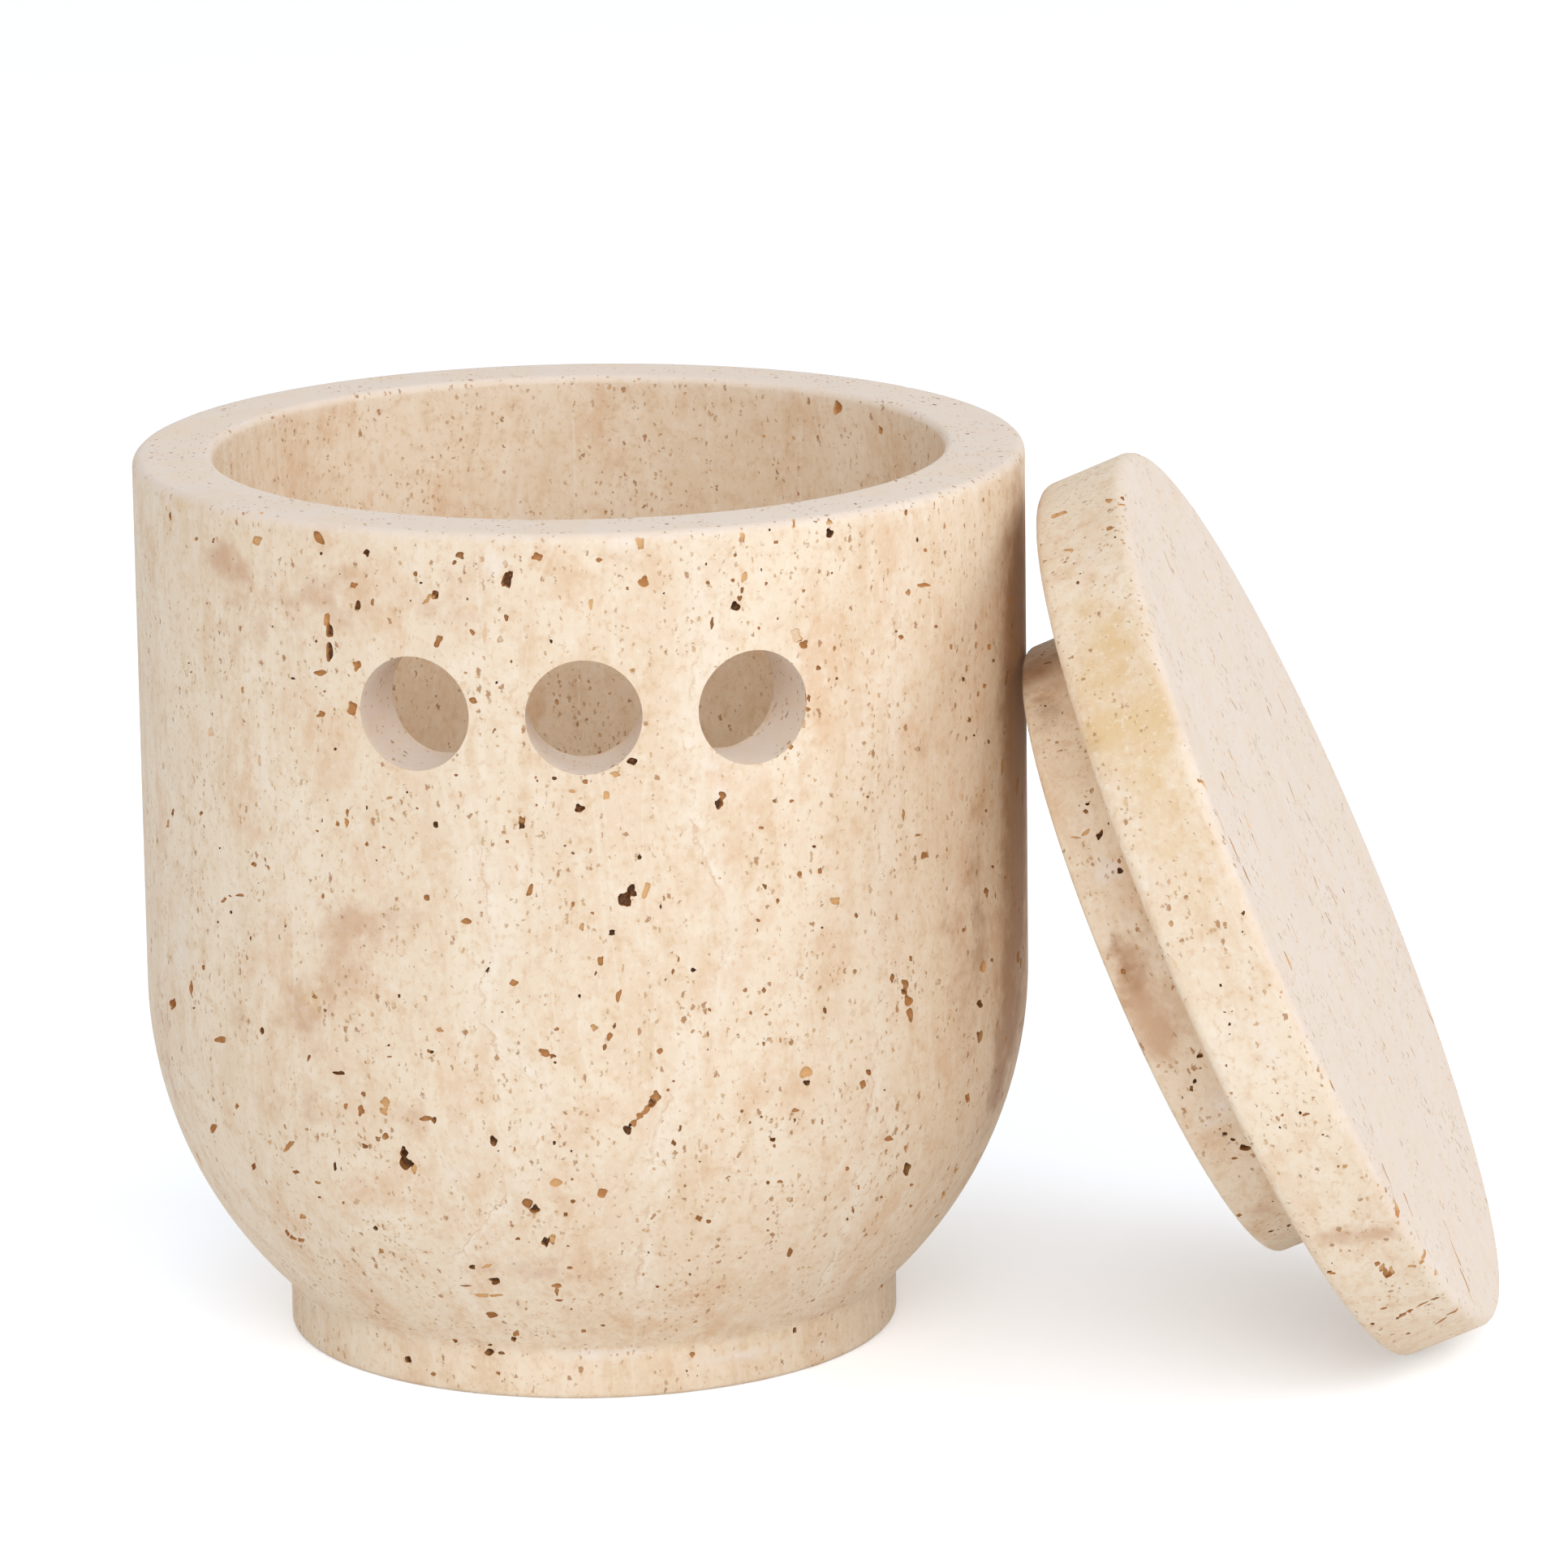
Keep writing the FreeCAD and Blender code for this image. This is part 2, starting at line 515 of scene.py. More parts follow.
@dataclass(frozen=True)
class SeenHoles:
    """Turns the rows of holes that the photograph shows into holes on a turned form."""

    form: TurnedForm
    placed: Matrix
    near: float = 1050.0
    far: float = 1400.0
    step: float = 0.1
    most_slant: float = 2.6

    def hits(self, pixels: np.ndarray) -> tuple[np.ndarray, np.ndarray]:
        """Follow each pixel's ray to the form's surface.

        Args:
            pixels: One row of x and y for each pixel.

        Returns:
            The first point of each ray in the form, in the form's own axes, and whether there is one.
        """
        turned = np.array(self.placed.inverted())
        start = turned[:3, :3] @ CAMERA.place + turned[:3, 3]
        rays = CAMERA.rays(pixels) @ turned[:3, :3].T
        reach = np.arange(self.near, self.far, self.step)
        points = np.empty((len(pixels), 3))
        found = np.zeros(len(pixels), bool)
        for k, ray in enumerate(rays):
            line = start + reach[:, None] * ray
            inside = self.form.inside(line)
            found[k] = inside.any()
            points[k] = line[int(np.argmax(inside))]
        return points, found

    def holes(self, rows: Sequence[HoleRow], seed: int) -> list[Hole]:
        """Make a hole for each row.

        Args:
            rows: Pixel across, pixel down, width, height, tone and lean of each hole.
            seed: The first hole's own number, from which its waves are drawn.

        Returns:
            The holes, in the form's own axes.
        """
        pixels = np.array([row[:2] for row in rows], float)
        points, found = self.hits(pixels)
        _, normals, _ = self.form.nearest(points)
        turned = np.array(self.placed.inverted())[:3, :3]
        right, up, into = (turned @ axis for axis in CAMERA.axes())
        holes = []
        for k, (_, _, wide, tall, tone, lean) in enumerate(rows):
            if not found[k]:
                continue
            normal = normals[k]
            scale = (np.linalg.norm(points[k] - turned @ CAMERA.place)) / CAMERA.focal_pixels
            facing = min(float(into @ normal), -1 / self.most_slant)
            one_right = (right - into * (right @ normal) / facing) * scale
            one_up = (up - into * (up @ normal) / facing) * scale
            tilt = math.radians(lean)
            across = wide * (math.cos(tilt) * one_right - math.sin(tilt) * one_up)
            upward = tall * (math.sin(tilt) * one_right + math.cos(tilt) * one_up)
            deep = tone.value * min(float(np.linalg.norm(across)), float(np.linalg.norm(upward)))
            deep = max(deep, SHALLOWEST)
            holes.append(Hole(points[k], across, upward, normal, deep, CRUST_AND_SHADE_BY_TONE[tone], seed + k))
        return holes


@dataclass(frozen=True)
class Scatter:
    """Holes strewn over a stretch of an outline, between two sizes, with small ones far more often.

    The stretch is given by distances along the outline, and the turns about the axis are in radians.
    """

    form: TurnedForm
    start: float
    end: float
    first_turn: float
    last_turn: float
    per_square_cm: float
    smallest: float
    largest: float
    taller: float
    seed: int
    tone_shares: tuple[float, ...] = (0.12, 0.36, 0.34, 0.18)

    def holes(self) -> list[Hole]:
        """Draw the holes: sizes by a power law, places thinned by broad bands and towards the form's -X side.

        Returns:
            The holes.
        """
        draw = np.random.default_rng(self.seed)
        middle = self.form.spot(np.array([(self.start + self.end) / 2]), np.zeros(1))[0]
        sweep = self.last_turn - self.first_turn
        area = (self.end - self.start) * sweep * max(middle[0], 20.0) / 100
        count = int(area * self.per_square_cm)
        along = draw.uniform(self.start, self.end, count)
        turn = draw.uniform(self.first_turn, self.last_turn, count)
        points = self.form.spot(along, turn)
        height = points[:, 2]
        bands = np.sin(turn * 5 + np.sin(height / 23) * 1.5) + 0.7 * np.sin(turn * 11 + height / 17)
        kept = draw.uniform(-1.6, 1.6, count) < bands + 0.4
        kept &= draw.uniform(0, middle[0] + 1, count) < points[:, 0] + middle[0] * 0.5
        points = points[kept]
        _, normals, _ = self.form.nearest(points)
        size = self.smallest * (self.smallest / self.largest) ** -(draw.uniform(0, 1, len(points)) ** 3.2)
        tall = size * (1 + draw.uniform(0, 1, len(points)) ** 2 * self.taller)
        lean = np.radians(draw.normal(0, 22, len(points)))
        tones = draw.choice(len(Tone), len(points), p=self.tone_shares)
        holes = []
        for k, point in enumerate(points):
            normal = normals[k]
            guide = UP if abs(normal[2]) < 0.9 else np.array([0.0, 1.0, 0.0])
            side = np.cross(guide, normal)
            side /= np.linalg.norm(side)
            up = np.cross(normal, side)
            across = size[k] * (math.cos(lean[k]) * side - math.sin(lean[k]) * up)
            upward = tall[k] * (math.sin(lean[k]) * side + math.cos(lean[k]) * up)
            tone = list(Tone)[tones[k]]
            deep = max(tone.value * size[k], SHALLOWEST)
            holes.append(Hole(point, across, upward, normal, deep, CRUST_AND_SHADE_BY_TONE[tone], self.seed * 10000 + k))
        return holes


@dataclass(frozen=True)
class Patch:
    """A soft-edged patch of another colour: its middle is a pixel of the photograph, its sizes are in mm."""

    across: float
    down: float
    wide: float
    tall: float
    strength: float = 1.0


def patch_field(points: np.ndarray, seen: SeenHoles, patches: Sequence[Patch]) -> np.ndarray:
    """Add up patches: each fades as e to the minus square of the distance over its size.

    The distance is measured upright and sideways apart.

    Args:
        points: The piece's vertices in the form's own axes.
        seen: Follows pixels to the form.
        patches: The patches.

    Returns:
        The strength at each point, from 0 to 1.
    """
    centres, found = seen.hits(np.array([[patch.across, patch.down] for patch in patches], float))
    total = np.zeros(len(points))
    upright = np.array(seen.placed.inverted())[:3, 2]
    for patch, centre, hit in zip(patches, centres, found):
        if not hit:
            continue
        away = points - centre
        rise = away @ upright
        aside = np.sqrt(np.maximum((away**2).sum(axis=1) - rise**2, 0))
        total += patch.strength * np.exp(-((aside / patch.wide) ** 2) - (rise / patch.tall) ** 2)
    return np.clip(total, 0, 1)


def vein_field(points: np.ndarray, seen: SeenHoles, pixels: Sequence[tuple[float, float]]) -> np.ndarray:
    """Measure how far to the side of a vein each point is, along the wall, in millimetres.

    The vein's turn about the axis is a function of its height, read between the pixels that it passes
    through. The field is the difference in turn times the point's distance from the axis. Past the vein's
    ends it grows with the height, so that the vein fades out there.

    Args:
        points: The piece's vertices.
        seen: Follows pixels to the form.
        pixels: The pixels that the vein passes through, from the top down.

    Returns:
        The signed distance at each point, positive to the right.
    """
    places, _ = seen.hits(np.array(pixels, float))
    places = places[::-1]
    turn = np.interp(points[:, 2], places[:, 2], np.arctan2(places[:, 0], -places[:, 1]))
    radius = np.hypot(points[:, 0], points[:, 1])
    aside = np.arctan2(points[:, 0], -points[:, 1]) - turn
    past = np.maximum(places[0, 2] - points[:, 2], 0) + np.maximum(points[:, 2] - places[-1, 2], 0)
    side = np.where(aside < 0, -1.0, 1.0)
    return side * np.minimum(np.abs(aside) * radius + past * VEIN_FADE, VEIN_REACH)


def linear(code: str) -> tuple[float, float, float, float]:
    """Turn an sRGB hex colour into the linear values that Blender's sockets take."""
    values = [int(code[k:k + 2], 16) / 255 for k in (1, 3, 5)]
    bent = [v / 12.92 if v <= 0.04045 else ((v + 0.055) / 1.055) ** 2.4 for v in values]
    return bent[0], bent[1], bent[2], 1.0


def add_node(tree: Tree, kind: str, inputs: Optional[dict] = None, **settings: object) -> bpy.types.Node:
    """Add a node, set its properties, and fill or link its sockets.

    Args:
        tree: The node tree that it goes into.
        kind: The node's type.
        inputs: A value or another node's socket for each input, by name or number.
        settings: The node's properties.

    Returns:
        The node.
    """
    node = tree.nodes.new(kind)
    for name, value in settings.items():
        setattr(node, name, value)
    for name, value in (inputs or {}).items():
        if isinstance(value, Socket):
            tree.links.new(value, node.inputs[name])
        else:
            node.inputs[name].default_value = value
    return node


def maths(tree: Tree, operation: str, *values: object) -> Socket:
    """Work out a number from numbers or other nodes' sockets."""
    return add_node(tree, "ShaderNodeMath", dict(enumerate(values)), operation=operation).outputs[0]


def vector_maths(tree: Tree, operation: str, *values: object) -> Socket:
    """Work out a vector from vectors or other nodes' sockets."""
    return add_node(tree, "ShaderNodeVectorMath", dict(enumerate(values)), operation=operation).outputs[0]


@dataclass(frozen=True)
class Travertine:
    """Travertine cut across its bedding and honed: matt, cream, clouded with tan, and full of fine pores.

    Honing leaves the ground smooth and without gloss, opens the pores, and takes the sharpness off the edges.
    The pores are crusted with ochre and brown, and the cut holes get painted shade that darkens towards their
    bottoms. Sizes are in millimetres.
    """

    name: str
    bedding: Matrix
    veins: tuple[str, ...] = ()
    light: str = "#f3e2cb"
    body: str = "#ecd7bd"
    tan: str = "#dab68d"
    stain: str = "#cfa684"
    blush: str = "#e3bf9b"
    gold: str = "#e2c18c"
    chalk: str = "#f4e9e0"
    # A brown mineral band, also used as painted shade down the jar's right side beside the lid and on the top
    # of the lid's plug
    band_and_painted_shade: str = "#a97c55"
    vein: str = "#f6ebdb"
    cut_face: str = "#ecded3"
    pore: str = "#b17c47"
    speck: str = "#cda06c"
    # The holes' colours: an ochre crust at the lip, then brown and dark brown as painted shade deeper down
    crust: str = "#deae70"
    brown: str = "#bd8347"
    dark: str = "#5e3a18"
    cloud_size: float = 20.0
    warp_size: float = 30.0
    warp_reach: float = 9.0
    streak_size: float = 3.2
    blush_size: float = 9.0
    mottle_size: float = 2.6
    fine_size: float = 0.8
    grain_size: float = 0.5
    pore_spacing: float = 1.5
    speck_spacing: float = 0.75
    vein_wander: float = 4.0
    hair_aside: float = 0.9
    grain_height: float = 0.35
    bump_strength: float = 0.6
    bump_depth: float = 0.22
    roughness: float = 0.62
    ior: float = 1.5

    def build(self) -> bpy.types.Material:
        """Build the material.

        Returns:
            The material.
        """
        material = bpy.data.materials.new(self.name)
        material.use_nodes = True
        tree = material.node_tree
        tree.nodes.clear()
        place = self.placed(tree)
        painted = self.painted(tree, place, self.ground(tree, place))
        pores = self.pores(tree, place)
        coloured = self.mix(tree, pores["specks"], painted, linear(self.speck))
        coloured = self.mix(tree, pores["pores"], coloured, linear(self.pore))
        crusted = self.crusted(tree, coloured, place)
        grain = self.noise(tree, place, self.grain_size, 3.0)
        height = maths(tree, "MULTIPLY", grain, self.grain_height)
        for layer in pores.values():
            height = maths(tree, "SUBTRACT", height, layer)
        bump = add_node(tree, "ShaderNodeBump", {
            "Strength": self.bump_strength,
            "Distance": self.bump_depth * MM,
            "Height": height,
        })
        shader = add_node(tree, "ShaderNodeBsdfPrincipled", {
            "Base Color": crusted,
            "Roughness": self.roughness,
            "IOR": self.ior,
            "Normal": bump.outputs[0],
        })
        add_node(tree, "ShaderNodeOutputMaterial", {"Surface": shader.outputs[0]})
        return material

    def placed(self, tree: Tree) -> Socket:
        """Give the stone's own coordinates in millimetres, with its bedding upright."""
        source = add_node(tree, "ShaderNodeTexCoord").outputs["Object"]
        turned = add_node(tree, "ShaderNodeMapping", {
            "Vector": source,
            "Rotation": self.bedding.to_euler(),
            "Scale": (1 / MM, 1 / MM, 1 / MM),
        })
        return turned.outputs[0]

    def noise(
        self,
        tree: Tree,
        place: Socket,
        size: float,
        detail: float,
        stretch: Sequence[float] = (1.0, 1.0, 1.0),
        output: str = "Fac",
    ) -> Socket:
        """Add noise whose lumps have this size in millimetres, stretched along each axis by these factors."""
        noise = add_node(tree, "ShaderNodeTexNoise", {
            "Vector": vector_maths(tree, "DIVIDE", place, stretch),
            "Scale": 1 / size,
            "Detail": detail,
            "Roughness": 0.6,
        })
        return noise.outputs[output]

    def ramp(self, tree: Tree, value: Socket, low: float, high: float, top: float = 1.0) -> Socket:
        """Turn a value that runs from low to high into one that runs smoothly from 0 to top."""
        node = add_node(tree, "ShaderNodeMapRange", {
            "Value": value,
            "From Min": low,
            "From Max": high,
            "To Max": top,
        }, interpolation_type="SMOOTHSTEP")
        return node.outputs[0]

    def mix(self, tree: Tree, share: object, first: object, second: object) -> Socket:
        """Mix two colours by a share."""
        node = add_node(tree, "ShaderNodeMix", {0: share, 6: first, 7: second}, data_type="RGBA")
        return node.outputs[2]

    def attribute(self, tree: Tree, name: str) -> Socket:
        """Read one of the fields that the piece carries."""
        return add_node(tree, "ShaderNodeAttribute", attribute_name=name).outputs["Fac"]

    def warped(self, tree: Tree, place: Socket) -> Socket:
        """Shift the coordinates by a slow noise, so that the bedding runs in waves."""
        drift = self.noise(tree, place, self.warp_size, 2.0, (1, 1, 2), "Color")
        centred = vector_maths(tree, "SUBTRACT", drift, (0.5, 0.5, 0.5))
        shift = vector_maths(tree, "MULTIPLY", centred, (self.warp_reach * 2,) * 3)
        return vector_maths(tree, "ADD", place, shift)

    def ground(self, tree: Tree, place: Socket) -> Socket:
        """Build the ground: clouds, streaks along the bedding, whitish veins and a fine mottle."""
        moved = self.warped(tree, place)
        clouds = self.noise(tree, moved, self.cloud_size, 5.0, (1, 1, 1.8))
        colour = self.mix(tree, self.ramp(tree, clouds, 0.36, 0.62), linear(self.light), linear(self.body))
        blush = self.noise(tree, moved, self.blush_size, 5.0, (1, 1, 1.6))
        colour = self.mix(tree, self.ramp(tree, blush, 0.5, 0.68, 0.6), colour, linear(self.blush))
        streaks = self.noise(tree, moved, self.streak_size, 4.0, (1, 1, 7))
        colour = self.mix(tree, self.ramp(tree, streaks, 0.5, 0.75, 0.4), colour, linear(self.tan))
        veins = self.noise(tree, moved, self.streak_size * 3, 2.0, (1, 1, 9))
        off = maths(tree, "ABSOLUTE", maths(tree, "SUBTRACT", veins, 0.5))
        colour = self.mix(tree, self.ramp(tree, off, 0.022, 0.0, 0.3), colour, linear(self.vein))
        colour = self.marked_veins(tree, place, colour)
        mottle = self.noise(tree, place, self.mottle_size, 4.0)
        colour = self.mix(tree, self.ramp(tree, mottle, 0.52, 0.72, 0.4), colour, linear(self.tan))
        pale = self.ramp(tree, mottle, 0.48, 0.3, 0.4)
        colour = self.mix(tree, pale, colour, linear(self.vein))
        fine = self.noise(tree, place, self.fine_size, 4.0, (1, 1, 1.3))
        colour = self.mix(tree, self.ramp(tree, fine, 0.53, 0.7, 0.5), colour, linear(self.tan))
        return self.mix(tree, self.ramp(tree, fine, 0.44, 0.3, 0.35), colour, linear(self.vein))

    def marked_veins(self, tree: Tree, place: Socket, colour: Socket) -> Socket:
        """Draw the piece's veins: each is a pale wave, and in it a broken white line beside a brown one."""
        broken = self.ramp(tree, self.noise(tree, place, 6.0, 3.0), 0.45, 0.62)
        ragged = maths(tree, "SUBTRACT", self.noise(tree, place, 2.2, 5.0), 0.5)
        for name in self.veins:
            aside = maths(tree, "MULTIPLY_ADD", ragged, self.vein_wander, self.attribute(tree, name))
            far = maths(tree, "ABSOLUTE", aside)
            colour = self.mix(tree, self.ramp(tree, far, 4.5, 0.3, 0.34), colour, linear(self.vein))
            line = maths(tree, "MULTIPLY", self.ramp(tree, far, 0.7, 0.1, 0.6), broken)
            colour = self.mix(tree, line, colour, linear(self.vein))
            hair = maths(tree, "ABSOLUTE", maths(tree, "ADD", aside, self.hair_aside))
            hair = maths(tree, "MULTIPLY", self.ramp(tree, hair, 0.3, 0.05, 0.5), broken)
            colour = self.mix(tree, hair, colour, linear(self.stain))
        return colour

    def painted(self, tree: Tree, place: Socket, ground: Socket) -> Socket:
        """Lay the stains, gold and chalky patches, brown bands that also carry painted shade, and paler cut
        faces over the ground.
        """
        blotch = self.noise(tree, place, 4.0, 8.0)
        colour = ground
        for name, code, soft in (
            ("stain", self.stain, 0.5),
            ("gold", self.gold, 0.6),
            ("chalk", self.chalk, 0.4),
            ("band_and_painted_shade", self.band_and_painted_shade, 0.7),
        ):
            both = maths(tree, "ADD", self.attribute(tree, name), blotch)
            share = self.ramp(tree, both, 0.66, 0.66 + soft, 0.8)
            colour = self.mix(tree, share, colour, linear(code))
        crystals = self.noise(tree, place, 0.9, 2.0)
        sparkle = self.ramp(tree, crystals, 0.55, 0.7, 0.8)
        sparkle = maths(tree, "MULTIPLY", self.attribute(tree, "gold"), sparkle)
        colour = self.mix(tree, sparkle, colour, linear(self.vein))
        dashes = self.noise(tree, place, 1.4, 3.0, (7, 7, 1))
        dashed = self.ramp(tree, dashes, 0.45, 0.7, 0.5)
        cut_colour = self.mix(tree, dashed, linear(self.cut_face), linear(self.body))
        return self.mix(tree, self.attribute(tree, "cut_face"), colour, cut_colour)

    def pores(self, tree: Tree, place: Socket) -> dict[str, Socket]:
        """Strew pores of two sizes: dots about the points of a cell pattern, kept where two draws allow it.

        Returns:
            How strongly each size tints the stone, which is also how deep it is.
        """
        ragged = self.noise(tree, place, 0.6, 3.0, output="Color")
        ragged = vector_maths(tree, "MULTIPLY", ragged, (1.1, 1.1, 1.1))
        squeezed = vector_maths(tree, "ADD", vector_maths(tree, "DIVIDE", place, (1, 1, 1.6)), ragged)
        crowd = self.noise(tree, place, 9.0, 2.0)
        layers = {}
        for name, spacing, radius, strength in (
            ("pores", self.pore_spacing, 0.26, 0.85),
            ("specks", self.speck_spacing, 0.34, 0.8),
        ):
            cells = add_node(tree, "ShaderNodeTexVoronoi", {"Vector": squeezed, "Scale": 1 / spacing})
            draw = add_node(tree, "ShaderNodeSeparateColor", {0: cells.outputs["Color"]}).outputs[0]
            size = self.ramp(tree, maths(tree, "MULTIPLY", draw, crowd), 0.16, 0.55, radius)
            gap = maths(tree, "SUBTRACT", size, cells.outputs["Distance"])
            layers[name] = self.ramp(tree, gap, 0.0, 0.1, strength)
        return layers

    def crusted(self, tree: Tree, colour: Socket, place: Socket) -> Socket:
        """Colour the insides of the cut holes, from an ochre crust at the lip to a painted shade of dark
        brown at the bottom.
        """
        crust_and_shade = self.attribute(tree, "crust_and_shade")
        wear = maths(tree, "SUBTRACT", self.noise(tree, place, 0.8, 3.0), 0.5)
        uneven = maths(tree, "MULTIPLY_ADD", wear, crust_and_shade, crust_and_shade)
        colour = self.mix(tree, self.ramp(tree, uneven, 0.02, 0.3, 0.9), colour, linear(self.crust))
        colour = self.mix(tree, self.ramp(tree, uneven, 0.25, 0.7), colour, linear(self.brown))
        return self.mix(tree, self.ramp(tree, uneven, 0.65, 1.05), colour, linear(self.dark))


def mark(piece: bpy.types.Object, name: str, values: np.ndarray, domain: str = "POINT") -> None:
    """Store one number for each vertex or face corner of a piece."""
    layer = piece.data.attributes.new(name, "FLOAT", domain)
    layer.data.foreach_set("value", values.astype(np.float32))


def mark_holes(piece: bpy.types.Object, depth: np.ndarray, points: np.ndarray, holes: Sequence[Hole]) -> None:
    """Work out how dark each face corner in a hole is painted, from its depth and the nearest hole's tone:
    ochre crust at the lip and painted shade that deepens towards the bottom.

    Args:
        piece: The piece that was cut.
        depth: Each vertex's depth below the uncut surface.
        points: The vertices in the axes that the holes are in.
        holes: The holes.
    """
    places = np.array([hole.place - hole.normal * hole.deep / 3 for hole in holes])
    sizes = np.array([hole.size for hole in holes])
    deeps = np.array([hole.deep for hole in holes])
    crusts_and_shades = np.array([hole.crust_and_shade for hole in holes])
    crust_and_shade = np.zeros(len(points))
    floor = np.zeros(len(points))
    within = np.flatnonzero(depth > SKIN)
    for chunk in np.array_split(within, max(1, len(within) // AT_ONCE)):
        away = np.linalg.norm(points[chunk, None] - places[None], axis=2) / sizes[None]
        nearest = away.argmin(axis=1)
        # The painted shade deepens with the depth below the uncut surface
        share = np.clip(depth[chunk] / (deeps[nearest] * DARKEST_AT), 0, 1)
        crust_and_shade[chunk] = crusts_and_shades[nearest] * share
        floor[chunk] = crusts_and_shades[nearest] * LIP_CRUST_AND_SHADE
    mesh = piece.data
    corner_vertex = np.empty(len(mesh.loops), np.int32)
    mesh.loops.foreach_get("vertex_index", corner_vertex)
    sides = np.empty(len(mesh.polygons), np.int32)
    mesh.polygons.foreach_get("loop_total", sides)
    face_of_corner = np.repeat(np.arange(len(sides)), sides)
    # Every corner of a face in a hole gets at least the lip's share, a painted shade that keeps the lip dark
    # and crisp
    lowest = np.zeros(len(sides))
    np.maximum.at(lowest, face_of_corner, floor[corner_vertex])
    value = np.maximum(crust_and_shade[corner_vertex], lowest[face_of_corner])
    mark(piece, "crust_and_shade", value, "CORNER")


def finish_mesh(piece: bpy.types.Object) -> None:
    """Smooth the shading of a piece, but keep the lips of its holes crisp."""
    piece.data.shade_smooth()
    piece.data.set_sharp_from_angle(angle=math.radians(EDGE_ANGLE_DEG))


